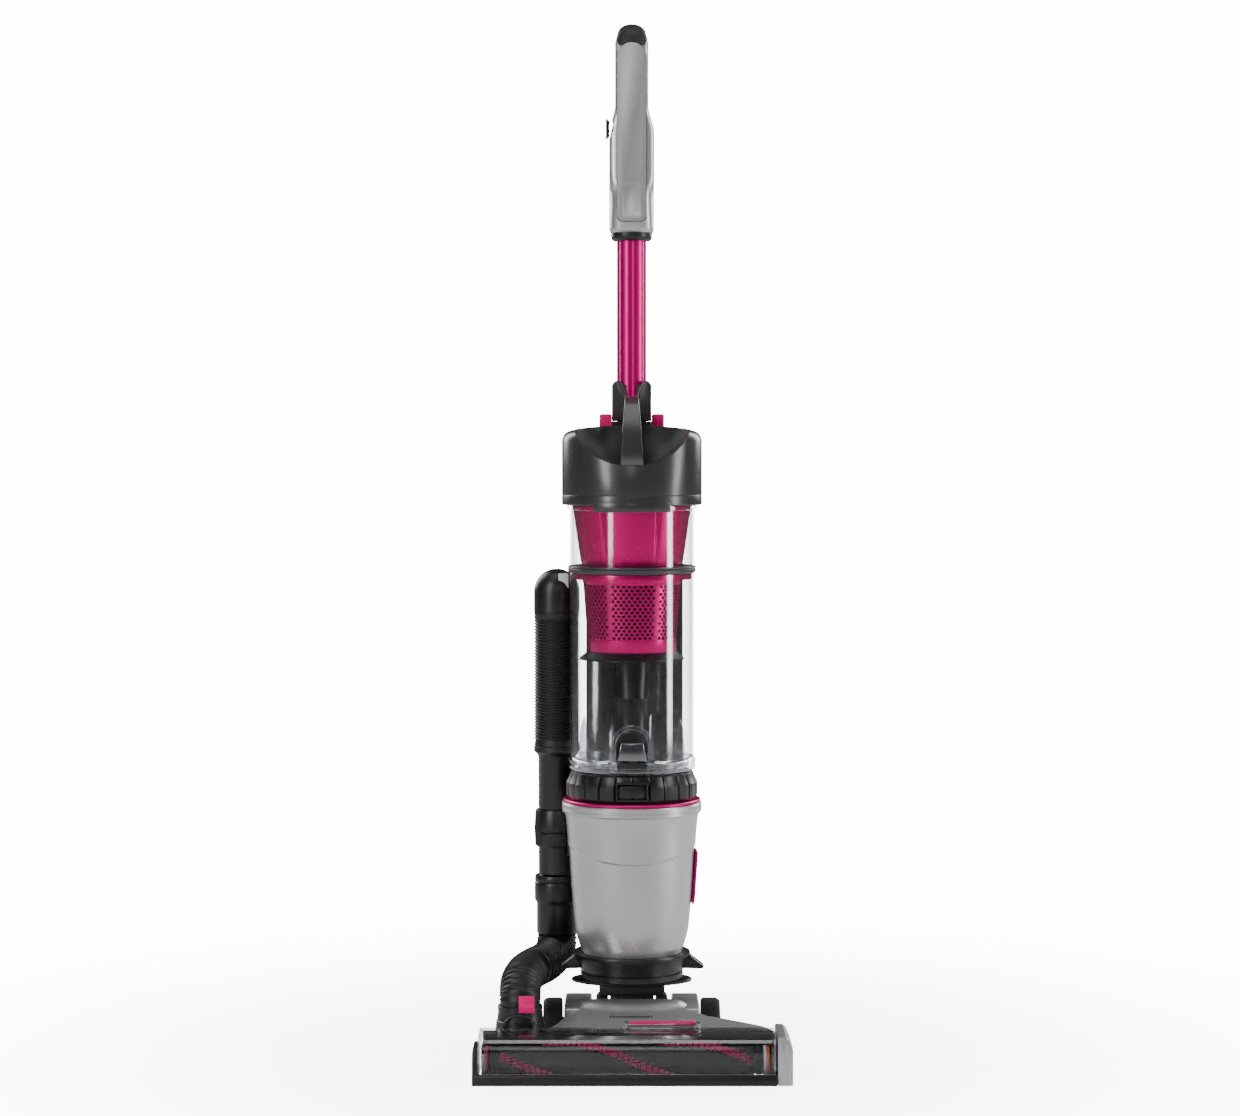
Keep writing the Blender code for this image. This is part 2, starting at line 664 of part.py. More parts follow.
def axle_and_wheels():
    start = BOSS_INNER + BOSS_WIDTH + 0.003
    rod("axle", AXLE_RADIUS, -start - WHEEL_WIDTH - 0.001, start + WHEEL_WIDTH + 0.001,
        (AXLE_Y, WHEEL_RADIUS), "X", steel(), 24)
    for name, side in (("wheel_left", -1), ("wheel_right", 1)):
        bore = AXLE_RADIUS + GAP
        profile = [(bore, start), (WHEEL_RADIUS - 0.002, start), (WHEEL_RADIUS, start + 0.002),
                   (WHEEL_RADIUS, start + WHEEL_WIDTH - 0.004), (WHEEL_RADIUS - 0.004, start + WHEEL_WIDTH),
                   (bore, start + WHEEL_WIDTH)]
        wheel = turned(name, profile, rubber(), 28)
        turn(wheel, 90 * side, "Y")
        shift(wheel, 0, AXLE_Y, WHEEL_RADIUS)


def neck_yoke():
    """Trunnion on the axle, the column, the hooked block and the spigot that the body turns on."""
    trunnion = rod("neck_yoke", TRUNNION_RADIUS, -BOSS_INNER + RUNNING_GAP, BOSS_INNER - RUNNING_GAP,
                   (AXLE_Y, WHEEL_RADIUS), "X", black())
    column = prism("column", [(-0.024, NECK_BLOCK_Z + 0.003), (-0.024, 0.049), (0.036, 0.0150),
                              (0.056, 0.0200), (0.056, 0.036), (0.030, NECK_BLOCK_Z + 0.003)],
                   -NECK_HALF_WIDTH, NECK_HALF_WIDTH, None, "YZ")
    head_block = block("block", (-NECK_BLOCK_HALF_WIDTH, NECK_BLOCK_HALF_WIDTH), (-0.026, 0.026),
                       (NECK_BLOCK_Z, NECK_TOP - 0.003))
    lug = [(NECK_HALF_WIDTH + 0.0030, 0.0495), (NECK_BLOCK_HALF_WIDTH + 0.003, 0.0560),
           (NECK_BLOCK_HALF_WIDTH + 0.002, 0.0600), (NECK_BLOCK_HALF_WIDTH - 0.002, 0.0630),
           (NECK_HALF_WIDTH + 0.0030, 0.0630)]
    lugs = [prism("lug", shape, -0.020, -0.006, None, "XZ") for shape in (lug, mirrored(lug))]
    flange = rod("flange", 0.0325, NECK_TOP - 0.0045, NECK_TOP, (0.0, 0.0), "Z", None, 32)
    flange.data.transform(Matrix.Diagonal((0.0615 / 0.0325, 1, 1, 1)))
    spigot = rod("spigot", SPIGOT_RADIUS, NECK_TOP - 0.002, NECK_TOP + 0.022)
    join(trunnion, column, head_block, *lugs, flange, spigot)
    airway = rod("airway", SPIGOT_RADIUS - 0.003, NECK_TOP - 0.006, NECK_TOP + 0.03)
    bore = rod("bore", AXLE_RADIUS + GAP, -0.05, 0.05, (AXLE_Y, WHEEL_RADIUS), "X")
    return cut(trunnion, airway, bore)


# ---------------------------------------------------------------- base collar and motor housing
def base_collar():
    """Flared black collar under the housing, with a pointed fin on each side."""
    low = NECK_TOP + RUNNING_GAP
    high = HOUSING_Z - GAP
    bore = SPIGOT_RADIUS + RUNNING_GAP
    profile = [(bore, low), (COLLAR_RADIUS, low), (COLLAR_RADIUS, low + 0.0105),
               (COLLAR_LIP_RADIUS, high - 0.0015), (COLLAR_LIP_RADIUS, high), (bore, high)]
    collar = turned("base_collar", profile, black(), 32)
    fin = [(COLLAR_RADIUS - 0.004, low + 0.0115), (0.0735, low + 0.0115), (0.0735, low + 0.0140),
           (COLLAR_LIP_RADIUS - 0.002, high - 0.001), (COLLAR_RADIUS - 0.004, high - 0.001)]
    fins = [prism("fin", shape, -0.016, 0.002, None, "XZ") for shape in (fin, mirrored(fin))]
    return join(collar, *fins)


def housing_outline(offset=0.0):
    """Outer line of the housing, bottom to top, as (radius, z)."""
    rim = HOUSING_TOP - RIM_HEIGHT
    tall = rim - HOUSING_Z
    shape = [(0.735, 0.0), (0.785, 0.077), (0.827, 0.162), (0.857, 0.302), (0.889, 0.520),
             (0.919, 0.800), (0.941, 0.929), (0.962, 0.995)]
    line = [(HOUSING_RIM_RADIUS * share + offset, HOUSING_Z + tall * height) for share, height in shape]
    return line + [(HOUSING_RIM_RADIUS + offset, rim), (HOUSING_RIM_RADIUS + offset, HOUSING_TOP)]


def housing_radius(z):
    """Outer radius of the housing at a height."""
    line = housing_outline()
    for (r0, z0), (r1, z1) in zip(line, line[1:]):
        if z0 <= z <= z1 and z1 > z0:
            return r0 + (r1 - r0) * (z - z0) / (z1 - z0)
    return line[-1][0]


COVER_LOW = 0.151
COVER_HIGH = 0.208
COVER_START = -8.0
COVER_SWEEP = 54.0


def wall_panel(name, low, high, start, sweep, near, far, material=None):
    """A curved panel that follows the housing between two heights, near and far from its surface."""
    levels = [low, (low + high) / 2, high]
    outer = [(housing_radius(z) + far, z) for z in levels]
    inner = [(housing_radius(z) + near, z) for z in reversed(levels)]
    return turned(name, outer + inner, material, 32, start, sweep)


def motor_housing():
    housing = turned("motor_housing", shell_profile(housing_outline(), 0.0025, 0.0025), silver(), 32)
    pad = block("pad", (-0.022, 0.022), (0.0500, SPINE_FRONT - GAP), (0.150, HOUSING_TOP - RIM_HEIGHT - 0.002))
    core = turned("core", [(0, 0.14)] + [(housing_radius(z) - 0.001, z) for z in (0.14, 0.18, 0.25)]
                  + [(0, 0.25)], None, 32)
    cut(pad, core)
    join(housing, pad)
    window = wall_panel("window", COVER_LOW + 0.005, COVER_HIGH - 0.005, COVER_START + 5,
                        COVER_SWEEP - 10, -0.006, 0.006)
    intake = rod("intake", SPIGOT_RADIUS - 0.003, HOUSING_Z - 0.01, HOUSING_Z + 0.01)
    return cut(housing, window, intake)


def exhaust():
    """Lift-off cover on the housing's right and the filter behind it."""
    wall_panel("exhaust_cover", COVER_LOW, COVER_HIGH, COVER_START, COVER_SWEEP, GAP, 0.0026, pink())
    wall_panel("exhaust_filter", COVER_LOW + 0.0025, COVER_HIGH - 0.0025, COVER_START + 2.5,
               COVER_SWEEP - 5, -0.0125, -0.0030, white())


def suction_motor():
    """Motor can, with its fan and shaft above it."""
    low = HOUSING_Z + 0.018
    can = [(0.0055, low), (0.036, low), (0.040, low + 0.006), (0.040, low + 0.062), (0.0055, low + 0.062)]
    turned("suction_motor", can, steel(), 32)
    top = low + 0.062
    shaft = rod("fan_rotor", 0.0045, low - 0.004, top + 0.020, (0, 0), "Z", steel(), 16)
    disc = turned("disc", [(0, top + 0.0030), (0.034, top + 0.0030), (0.034, top + 0.0050), (0.010, top + 0.0120),
                           (0, top + 0.0120)], None, 32)
    join(shaft, disc)


def trim_and_motor_ring():
    low = HOUSING_TOP + GAP
    radius = HOUSING_RIM_RADIUS - 0.0017
    turned("trim_ring", [(0.052, low), (radius, low), (radius, low + TRIM_HEIGHT), (0.052, low + TRIM_HEIGHT)],
           pink(), 32)
    foot = MOTOR_RING_Z
    high = foot + MOTOR_RING_HEIGHT
    belt = foot + 0.0170
    outer = [(0.0640, foot), (0.0665, foot + 0.003), (0.0665, belt), (0.0605, high)]
    ring = turned("motor_top_ring", shell_profile(outer, 0.0030), black(), 32)
    deck = turned("deck", [(0.024, high - 0.006), (0.060, high - 0.006), (0.060, high - 0.003),
                           (0.024, high - 0.003)], None, 32)
    join(ring, deck)
    badge = block("badge", (-0.0150, 0.0150), (-0.0685, -0.0600), (foot + 0.007, foot + 0.022))
    notch = block("notch", (-0.09, 0.09), (0.0660, 0.09), (0.2, 0.3))
    join(ring, badge)
    cut(ring, notch)
    turned("premotor_filter", [(0.010, foot + 0.002), (0.060, foot + 0.002), (0.060, high - 0.008),
                               (0.010, high - 0.008)], white(), 32)


# ---------------------------------------------------------------- spine, socket and hose
def spine():
    """Hollow rear post from the housing up to the wand socket, with a curved wall behind the bin."""
    half = 0.0245
    low = 0.160
    outline = rounded([(-half, SPINE_FRONT), (half, SPINE_FRONT), (half, SPINE_BACK), (-half, SPINE_BACK)],
                      0.008, 4)
    post = prism("spine", outline, low, SOCKET_Z - GAP, black())
    hollow = prism("hollow", inset(outline, SPINE_WALL), low + 0.003, SOCKET_Z + 0.05)
    near = BIN_RADIUS + 0.0035
    far = near + SPINE_WALL
    foot = BIN_Z + 0.002
    waist = INLET_Z - 0.022
    head = SHELL_TOP - 0.004
    wide = turned("wide", [(near, foot), (far, foot), (far, waist), (near, waist)], None, 24, 40, 93)
    narrow = turned("narrow", [(near, foot + 0.01), (far, foot + 0.01), (far, head), (near, head)], None, 20, 40, 76)
    web = block("web", (-0.016, 0.016), (near + 0.0002, SPINE_FRONT + 0.001), (foot + 0.001, head - 0.001))
    cut(post, hollow)
    return join(post, wide, narrow, web)


def wand_socket():
    """Collar that grips the wand; its front is cut away in a V."""
    half = 0.0205
    depth = WAND_RADIUS + GAP + 0.0030
    outline = rounded([(-half, WAND_Y - depth), (half, WAND_Y - depth), (half, SPINE_BACK),
                       (-half, SPINE_BACK)], 0.009, 4)
    socket = prism("wand_socket", outline, SOCKET_Z, SOCKET_TOP, dark_grey())
    bore = rod("bore", WAND_RADIUS + GAP, SOCKET_Z - 0.01, SOCKET_TOP + 0.01, (0, WAND_Y))
    vee = prism("vee", [(0.0, SOCKET_TOP - 0.020), (0.0140, SOCKET_TOP + 0.01), (-0.0140, SOCKET_TOP + 0.01)],
                WAND_Y - 0.03, WAND_Y, None, "XZ")
    return cut(socket, bore, vee)


def hose_fittings():
    """Elbow, grey bayonet collar, stretch hose, rigid grip tube, clip and lower cuff."""
    flange_top = INLET_Z - 0.0180
    tube_top = SEAL_Z - 0.181
    route = [Vector((HOSE_X, HOSE_Y, tube_top + GAP)), Vector((HOSE_X, HOSE_Y, flange_top - 0.0042))]
    hose_tube("stretch_hose", route, STRETCH_RADIUS, rubber(), HOSE_WALL, 24)

    face = HOSE_X + 0.0027
    dome = arc((0, INLET_Z), 0.0225, 0, 90, 5)
    profile = [(0.0, flange_top - 0.0035)] + [(0.0234, flange_top - 0.0035), (0.0234, flange_top),
                                             (0.0225, flange_top)] + dome[:-1] + [(0.0, INLET_Z + 0.0225)]
    elbow = turned("hose_elbow", profile, black(), 28)
    shift(elbow, HOSE_X, HOSE_Y)
    cut(elbow, block("half", (face, 0.1), (-0.1, 0.1), (flange_top, 1.0)))
    up = rod("up", 0.0150, flange_top - 0.01, INLET_Z, (HOSE_X - 0.0020, HOSE_Y))
    across = rod("across", 0.0145, HOSE_X - 0.0035, face + 0.01, (HOSE_Y, INLET_Z), "X")
    cut(elbow, up, across)

    collar = rod("hose_connector", 0.0178, face + GAP, face + 0.0105, (HOSE_Y, INLET_Z), "X", silver(), 32)
    cut(collar, rod("bore", 0.0145, -0.1, 0.1, (HOSE_Y, INLET_Z), "X"))

    tube = [(GRIP_TUBE_RADIUS, CUFF_TOP - 0.03), (GRIP_TUBE_RADIUS, tube_top)]
    shift(turned("grip_tube", shell_profile(tube, 0.0022), black(), 32), HOSE_X, HOSE_Y)

    clip_low = HOUSING_Z + 0.100
    clip = turned("tube_clip", [(GRIP_TUBE_RADIUS + GAP, clip_low), (0.0225, clip_low), (0.0225, clip_low + 0.038),
                                (GRIP_TUBE_RADIUS + GAP, clip_low + 0.038)], black(), 32)
    shift(clip, HOSE_X, HOSE_Y)
    join(clip, block("latch", (HOSE_X + 0.004, HOSE_X + 0.016), (HOSE_Y - 0.0255, HOSE_Y - 0.0195),
                     (clip_low + 0.006, clip_low + 0.032)))
    cut(clip, rod("bore", GRIP_TUBE_RADIUS + GAP, 0.1, 0.4, (HOSE_X, HOSE_Y)))

    low = CUFF_BOTTOM
    cuff = [(0.0212, low), (0.0212, low + 0.030), (0.0232, low + 0.034), (0.0232, low + 0.0600)]
    inner = [(GRIP_TUBE_RADIUS + GAP, low + 0.0600), (GRIP_TUBE_RADIUS + GAP, CUFF_TOP - 0.03 - GAP),
             (0.0165, CUFF_TOP - 0.03 - GAP), (0.0165, low)]
    shift(turned("lower_cuff", cuff + inner, black(), 32), HOSE_X, HOSE_Y)


LOWER_HOSE_POINTS = [
    (-0.0770, 0.0520, 0.1128), (-0.0771, 0.0516, 0.1055), (-0.0795, 0.0430, 0.0950),
    (-0.0880, 0.0240, 0.0885), (-0.1010, -0.0080, 0.0868), (-0.1070, -0.0480, 0.0880),
    (-0.1100, -0.0785, 0.0850), (-0.1105, -0.0905, 0.0750), (-0.1105, -0.0905, 0.0666),
]


def lower_hose():
    """The short hose that bends as the body reclines and steers."""
    route = smooth_route(LOWER_HOSE_POINTS, 2)
    return hose_tube("lower_hose", route, LOWER_HOSE_RADIUS, rubber(), HOSE_WALL, 12)


def cable_parts():
    """Inlet gland for the mains lead and the two hooks that it would be wound on."""
    rod("cord_gland", 0.0065, SPINE_BACK + GAP, SPINE_BACK + 0.012, (0.0, 0.190), "Y", black(), 20)
    rear = SPINE_BACK + GAP
    hook = [(rear, 0.300), (rear + 0.020, 0.300), (rear + 0.024, 0.292), (rear + 0.028, 0.292),
            (rear + 0.028, 0.310), (rear + 0.024, 0.316), (rear, 0.318)]
    prism("cable_hook_lower", hook, -0.010, 0.010, black(), "YZ")
    back = WAND_Y + 0.0276
    z = HANDLE_Z + 0.0060
    pivot = rod("cable_hook_upper", 0.0040, back, back + 0.008, (0.0, z), "Y", black())
    upper = [(back + 0.006, z - 0.004), (back + 0.015, z - 0.004), (back + 0.019, z), (back + 0.019, z + 0.017),
             (back + 0.015, z + 0.017), (back + 0.013, z + 0.008), (back + 0.010, z + 0.004),
             (back + 0.006, z + 0.004)]
    join(pivot, prism("arm", upper, -0.007, 0.007, None, "YZ"))


# ---------------------------------------------------------------- dust bin
def bin_shells():
    """Clear lower shell with the inlet stub, the seal ring and the clear upper shell."""
    low = LOWER_SHELL_Z
    high = SEAL_Z - GAP
    outer = [(BIN_RADIUS, low), (BIN_RADIUS, high)]
    shell = turned("bin_lower_shell", shell_profile(outer, BIN_WALL), clear(), 32)
    stub_end = HOSE_X + 0.0105 + 0.0027 + GAP
    stub = rod("stub", 0.0160, stub_end, -0.034, (HOSE_Y, INLET_Z), "X")
    core = rod("core", BIN_RADIUS - 0.0010, low, high + 0.01, (0, 0), "Z", None, 32)
    cut(stub, core)
    join(shell, stub)
    cut(shell, rod("bore", 0.0135, stub_end - 0.01, -0.030, (HOSE_Y, INLET_Z), "X"))
    high = SEAL_Z + SEAL_HEIGHT
    lip = BIN_RADIUS + 0.0018
    turned("seal_ring", [(BIN_RADIUS - 0.0090, SEAL_Z), (BIN_RADIUS, SEAL_Z), (lip, SEAL_Z + 0.002),
                         (lip, high - 0.002), (BIN_RADIUS, high), (BIN_RADIUS - 0.0090, high)],
           dark_grey(), 32)
    flange = SHELL_TOP - 0.0050
    outer = [(BIN_RADIUS, UPPER_SHELL_Z), (BIN_RADIUS, flange), (BIN_RADIUS + 0.0015, flange),
             (BIN_RADIUS + 0.0015, SHELL_TOP)]
    inner = [(BIN_RADIUS - BIN_WALL, SHELL_TOP), (BIN_RADIUS - BIN_WALL, UPPER_SHELL_Z)]
    turned("bin_upper_shell", outer + inner, clear(), 32)


def cyclone_cone():
    """Pink cone inside the upper shell; it narrows upwards."""
    low = UPPER_SHELL_Z
    high = SHELL_TOP - 0.001
    wide = BIN_RADIUS - BIN_WALL - GAP
    outer = [(wide, low), (wide - 0.0055, high)]
    turned("cyclone_cone", shell_profile(outer, 0.0018), pink(), 32)


def shroud():
    """Pink drum under the seal, whose sieve holes are too fine to cut, and the skirt below it."""
    high = SEAL_Z - GAP
    rim = high - 0.0045
    low = high - 0.0790
    outer = [(SHROUD_RADIUS - 0.0052, low), (SHROUD_RADIUS, rim), (BIN_RADIUS - BIN_WALL - 0.0015, rim),
             (BIN_RADIUS - BIN_WALL - 0.0015, high)]
    inner = [(SHROUD_RADIUS - 0.0020, high), (SHROUD_RADIUS - 0.0072, low)]
    turned("shroud", outer + inner, pink(), 32)
    skirt = low - GAP
    edge = BIN_RADIUS - 0.0096
    turned("shroud_skirt", [(0.0300, skirt), (0.0300, skirt - 0.003), (edge, skirt - 0.0075),
                            (edge, skirt - 0.0055), (edge - 0.0075, skirt)], black(), 32)
    return low


def inner_cyclone(shroud_low):
    """Dark cone and tube that hang in the middle of the lower shell."""
    top = shroud_low + 0.060
    waist = shroud_low - 0.047
    foot = LOWER_SHELL_Z + 0.024
    outer = [(0.0168, foot), (0.0168, waist), (CYCLONE_RADIUS, shroud_low), (0.0285, shroud_low + 0.020),
             (0.0285, top)]
    turned("inner_cyclone", shell_profile(outer, 0.0018), black(), 32)


def bin_base():
    """Clear floor of the bin with its rim, fins and the front latch."""
    lip = BIN_RADIUS + 0.0020
    floor = BIN_Z + 0.0050
    profile = [(0.0, BIN_Z), (lip - 0.003, BIN_Z), (lip, BIN_Z + 0.003), (lip, BIN_Z + 0.0120),
               (BIN_RADIUS, BIN_Z + BIN_BASE_HEIGHT), (BIN_RADIUS - 0.0055, BIN_Z + BIN_BASE_HEIGHT),
               (BIN_RADIUS - 0.0060, floor), (0.0, floor)]
    base = turned("bin_base", profile, clear(), 32)
    fins = []
    edge = BIN_RADIUS - 0.0066
    for index in range(8):
        angle = 22.5 + index * 45.0
        shape = [(edge - 0.0160, floor - 0.001), (edge, floor - 0.001), (edge, floor + 0.040),
                 (edge - 0.0040, floor + 0.050), (edge - 0.0055, floor + 0.030)]
        fins.append(turn(prism("fin", shape, -0.0009, 0.0009, None, "XZ"), angle, "Z"))
    join(base, *fins)
    cut(base, block("latch_room", (-0.0185, 0.0185), (-0.09, 0.0041 - BIN_RADIUS), (BIN_Z + 0.0035, 0.9)))
    latch = rounded([(-0.0150, BIN_Z + 0.004), (0.0150, BIN_Z + 0.004), (0.0120, BIN_Z + 0.0130),
                     (-0.0120, BIN_Z + 0.0130)], 0.002, 2)
    smoke = paint("smoke_plastic", (0.3, 0.3, 0.31), 0.2, 0.3)
    prism("bin_latch", latch, -BIN_RADIUS - 0.0035, -BIN_RADIUS + 0.0015, smoke, "XZ")


def ellipsoid(name, centre, size):
    bm = bmesh.new()
    bmesh.ops.create_uvsphere(bm, u_segments=20, v_segments=12, radius=1.0)
    bmesh.ops.transform(bm, matrix=Matrix.Translation(centre) @ Matrix.Diagonal((*size, 1.0)), verts=bm.verts)
    return solid(name, bm)


def bin_cap():
    """Dark grey cap over the bin; a wide scoop under the carry handle leaves a smiling front edge."""
    low = CAP_Z
    top = CAP_TOP
    outer = [(CAP_RADIUS - 0.001, low - 0.0), (CAP_RADIUS, low + 0.008), (CAP_RADIUS, top - 0.020)]
    shoulder = arc((CAP_RADIUS - 0.010, top - 0.020), 0.010, 0, 75, 5)
    profile = [(0.0, low)] + outer + shoulder[1:] + [(0.052, top), (0.0, top)]
    cap = turned("bin_cap", profile, dark_grey(), 32)
    centre = (0.0, -0.045, top + 0.0270)
    size = (0.0665, 0.0760, 0.0740)
    scoop = ellipsoid("scoop", centre, size)
    cut(cap, scoop)
    cavity = turned("cavity", [(0.0, low - 0.01), (CAP_RADIUS - 0.003, low - 0.01), (CAP_RADIUS - 0.003, top - 0.022),
                               (0.056, top - 0.005), (0.0, top - 0.005)], None, 32)
    cut(cavity, ellipsoid("scoop", centre, tuple(part + 0.0035 for part in size)))
    cut(cap, cavity)
    pockets = [block("pocket", (-0.034, -0.0205), (0.040, 0.056), (top - 0.004, top + 0.01)),
               block("pocket", (0.0205, 0.034), (0.040, 0.056), (top - 0.004, top + 0.01))]
    return cut(cap, *pockets)


def carry_handle():
    """Arched bar over the scoop, from the cap's middle up and back to its rear."""
    top = CAP_TOP
    side = [(-0.030, top - 0.0500), (-0.0170, top - 0.0500), (0.0000, top - 0.022), (0.0160, top + 0.0060),
            (0.0320, top + 0.0160), (0.0440, top + 0.0120), (0.0500, top + GAP), (0.0620, top + GAP),
            (0.0600, top + 0.0180), (0.0500, top + 0.0270), (0.0330, top + 0.0290), (0.0120, top + 0.0220),
            (-0.0100, top - 0.0080), (-0.0260, top - 0.0380)]
    bar = prism("carry_handle", side, -0.0105, 0.0105, dark_grey(), "YZ")
    centre = (0.0, -0.045, top + 0.0270)
    inside = ellipsoid("scoop", centre, (0.0665 - GAP, 0.0760 - GAP, 0.0740 - GAP))
    above = block("above", (-0.1, 0.1), (0.010, 0.1), (top + GAP, top + 0.1))
    join(inside, above)
    return keep(bar, inside)


def bin_buttons():
    for name, side in (("bin_button_left", -1), ("bin_button_right", 1)):
        inner = RUNNING_GAP + 0.0205
        outer = 0.034 - RUNNING_GAP
        x = sorted((side * inner, side * outer))
        block(name, x, (0.040 + RUNNING_GAP, 0.056 - RUNNING_GAP), (CAP_TOP - 0.0002, CAP_TOP + 0.0100), pink())


# ---------------------------------------------------------------- wand and handle
def wand():
    """Pink tube from the spine up into the handle, with its black collar."""
    low = SOCKET_Z - 0.038
    tube = [(WAND_RADIUS, low), (WAND_RADIUS, HANDLE_Z + 0.040)]
    shift(turned("wand_tube", shell_profile(tube, WAND_WALL), pink(), 32), 0, WAND_Y)
    wide, narrow = 0.0215, 0.0175
    collar = turned("wand_collar", [(WAND_RADIUS + GAP, WAND_COLLAR_Z), (narrow, WAND_COLLAR_Z),
                                    (wide, HANDLE_Z - GAP), (WAND_RADIUS + GAP, HANDLE_Z - GAP)], black(), 32)
    shift(collar, 0, WAND_Y)


def handle_width(z):
    """Half width of the handle at a height above its foot: slim above, flared below."""
    slim, full = 0.01725, 0.02325
    share = min(1.0, max(0.0, (0.130 - z) / 0.030))
    return slim + (full - slim) * share * share * (3 - 2 * share)


def handle_piece(name, side, material):
    """Extrudes a side outline, then gives it the handle's width at each height."""
    outline = [(WAND_Y + y, HANDLE_Z + z) for y, z in side]
    piece = prism(name, outline, -1.0, 1.0, material, "YZ")
    for vertex in piece.data.vertices:
        vertex.co.x *= handle_width(vertex.co.z - HANDLE_Z)
    return piece


def handle():
    """Loop handle: silver front and foot, black grip over the top and down the back."""
    reach = HANDLE_REACH - WAND_Y
    shell = [(-0.0232, 0.0), (0.0232, 0.0), (0.0300, 0.018), (0.0380, 0.0300), (0.0260, 0.0420),
             (0.0120, 0.0400), (-0.0100, 0.0480), (-0.0150, 0.0600), (-0.0150, 0.1000), (-0.0150, 0.1300),
             (-0.0150, 0.1950), (-0.0275, 0.1950), (-0.0320, 0.1850), (-0.0320, 0.1300), (-0.0320, 0.1150),
             (-0.0320, 0.1000), (-0.0320, 0.0450), (-0.0270, 0.0200)]
    body = handle_piece("handle_shell", shell, silver())
    cut(body, rod("bore", WAND_RADIUS + GAP, HANDLE_Z - 0.01, HANDLE_Z + 0.0403, (0, WAND_Y)),
        switch_shape("pocket", SWITCH_RADIUS + RUNNING_GAP, -0.01, SWITCH_TRAVEL + 0.0005))
    top = HANDLE_HEIGHT
    grip = [(-0.0150, 0.1953), (-0.0060, 0.1945), (0.0080, 0.1900), (0.0250, 0.1770), (0.0360, 0.1550),
            (0.0400, 0.1300), (0.0395, 0.1000), (0.0350, 0.0680), (0.0262, 0.0424), (0.0384, 0.0303),
            (reach - 0.0090, 0.0470), (reach - 0.0010, 0.0850), (reach, 0.1150), (reach, 0.1400),
            (reach - 0.0060, 0.1700), (reach - 0.0190, 0.1950), (0.0190, top - 0.0040), (0.0, top),
            (-0.0140, top - 0.0030), (-0.0235, 0.2050), (-0.0275, 0.1953)]
    return handle_piece("handle_grip", grip, rubber())


def switch_shape(name, radius, low, high, material=None):
    """Upright oval on the handle's left flank, between two depths measured inwards from it."""
    flank = -handle_width(SWITCH_HEIGHT)
    shape = rod(name, radius, flank + low, flank + high, (0.0, 0.0), "X", material)
    shape.data.transform(Matrix.Diagonal((1, 0.55, 1, 1)))
    return shift(shape, 0, WAND_Y - 0.0235, HANDLE_Z + SWITCH_HEIGHT)


def power_switch():
    return switch_shape("power_switch", SWITCH_RADIUS, -0.0030, 0.0, black())


# ---------------------------------------------------------------- assembly
BODIES = {
    "neck": ((0.0, AXLE_Y, WHEEL_RADIUS), ["neck_yoke"]),
    "main_body": ((0.0, 0.0, NECK_TOP), [
        "base_collar", "motor_housing", "exhaust_filter", "suction_motor", "trim_ring",
        "motor_top_ring", "premotor_filter", "spine", "wand_socket", "stretch_hose", "hose_elbow",
        "hose_connector", "grip_tube", "tube_clip", "lower_cuff", "lower_hose", "cord_gland",
        "cable_hook_lower"]),
    "dust_bin": ((0.0, 0.0, BIN_Z), [
        "bin_lower_shell", "seal_ring", "bin_upper_shell", "cyclone_cone", "shroud",
        "shroud_skirt", "inner_cyclone", "bin_base", "bin_cap", "carry_handle"]),
    "wand": ((0.0, WAND_Y, SOCKET_Z), ["wand_tube", "wand_collar", "handle_shell", "handle_grip"]),
    "brush": ((0.0, BRUSH_Y, BRUSH_Z), ["brush_core", "brush_bristles"]),
    "brush_motor_shaft": ((0.0, MOTOR_Y, MOTOR_Z), ["motor_pulley"]),
    "left_wheel": ((0.0, AXLE_Y, WHEEL_RADIUS), ["wheel_left"]),
    "right_wheel": ((0.0, AXLE_Y, WHEEL_RADIUS), ["wheel_right"]),
    "fan": ((0.0, 0.0, HOUSING_Z), ["fan_rotor"]),
    "exhaust_door": ((0.0, 0.0, COVER_LOW), ["exhaust_cover"]),
    "latch": ((0.0, -BIN_RADIUS, BIN_Z), ["bin_latch"]),
    "left_button": ((0.0, 0.0, CAP_TOP), ["bin_button_left"]),
    "right_button": ((0.0, 0.0, CAP_TOP), ["bin_button_right"]),
    "switch": ((0.0, WAND_Y, HANDLE_Z), ["power_switch"]),
    "upper_hook": ((0.0, WAND_Y + 0.0236, HANDLE_Z + 0.0060), ["cable_hook_upper"]),
    "port_clip": ((PORT_X, PORT_Y, PORT_TOP), ["port_release_clip"]),
    "push_bar": ((0.0, CHAMBER_BACK, WINDOW_TOP), ["window_release"]),
}
PARENTS = {
    "neck": None, "main_body": "neck", "dust_bin": "main_body", "wand": "main_body", "brush": None,
    "brush_motor_shaft": None, "left_wheel": None, "right_wheel": None, "fan": "main_body",
    "exhaust_door": "main_body", "latch": "dust_bin", "left_button": "dust_bin", "right_button": "dust_bin",
    "switch": "wand", "upper_hook": "wand", "port_clip": None, "push_bar": None,
}


def assemble():
    """Hangs each piece on an empty that stands on its body's joint axis."""
    root = bpy.data.objects.new("floor_head", None)
    root.location = (0.0, BODY_Y, 0.0)
    bpy.context.scene.collection.objects.link(root)
    empties = {None: (root, Vector((0, 0, 0)))}
    for body, parent in PARENTS.items():
        place = Vector(BODIES[body][0])
        empty = bpy.data.objects.new(body, None)
        bpy.context.scene.collection.objects.link(empty)
        empty.parent, base = empties[parent]
        empty.location = place - base
        empties[body] = (empty, place)
    owner = {node: body for body, (_, nodes) in BODIES.items() for node in nodes}
    for obj in [item for item in bpy.context.scene.objects if item.type == "MESH"]:
        empty, place = empties[owner.get(obj.name)]
        obj.data.transform(Matrix.Translation(-place))
        obj.parent = empty


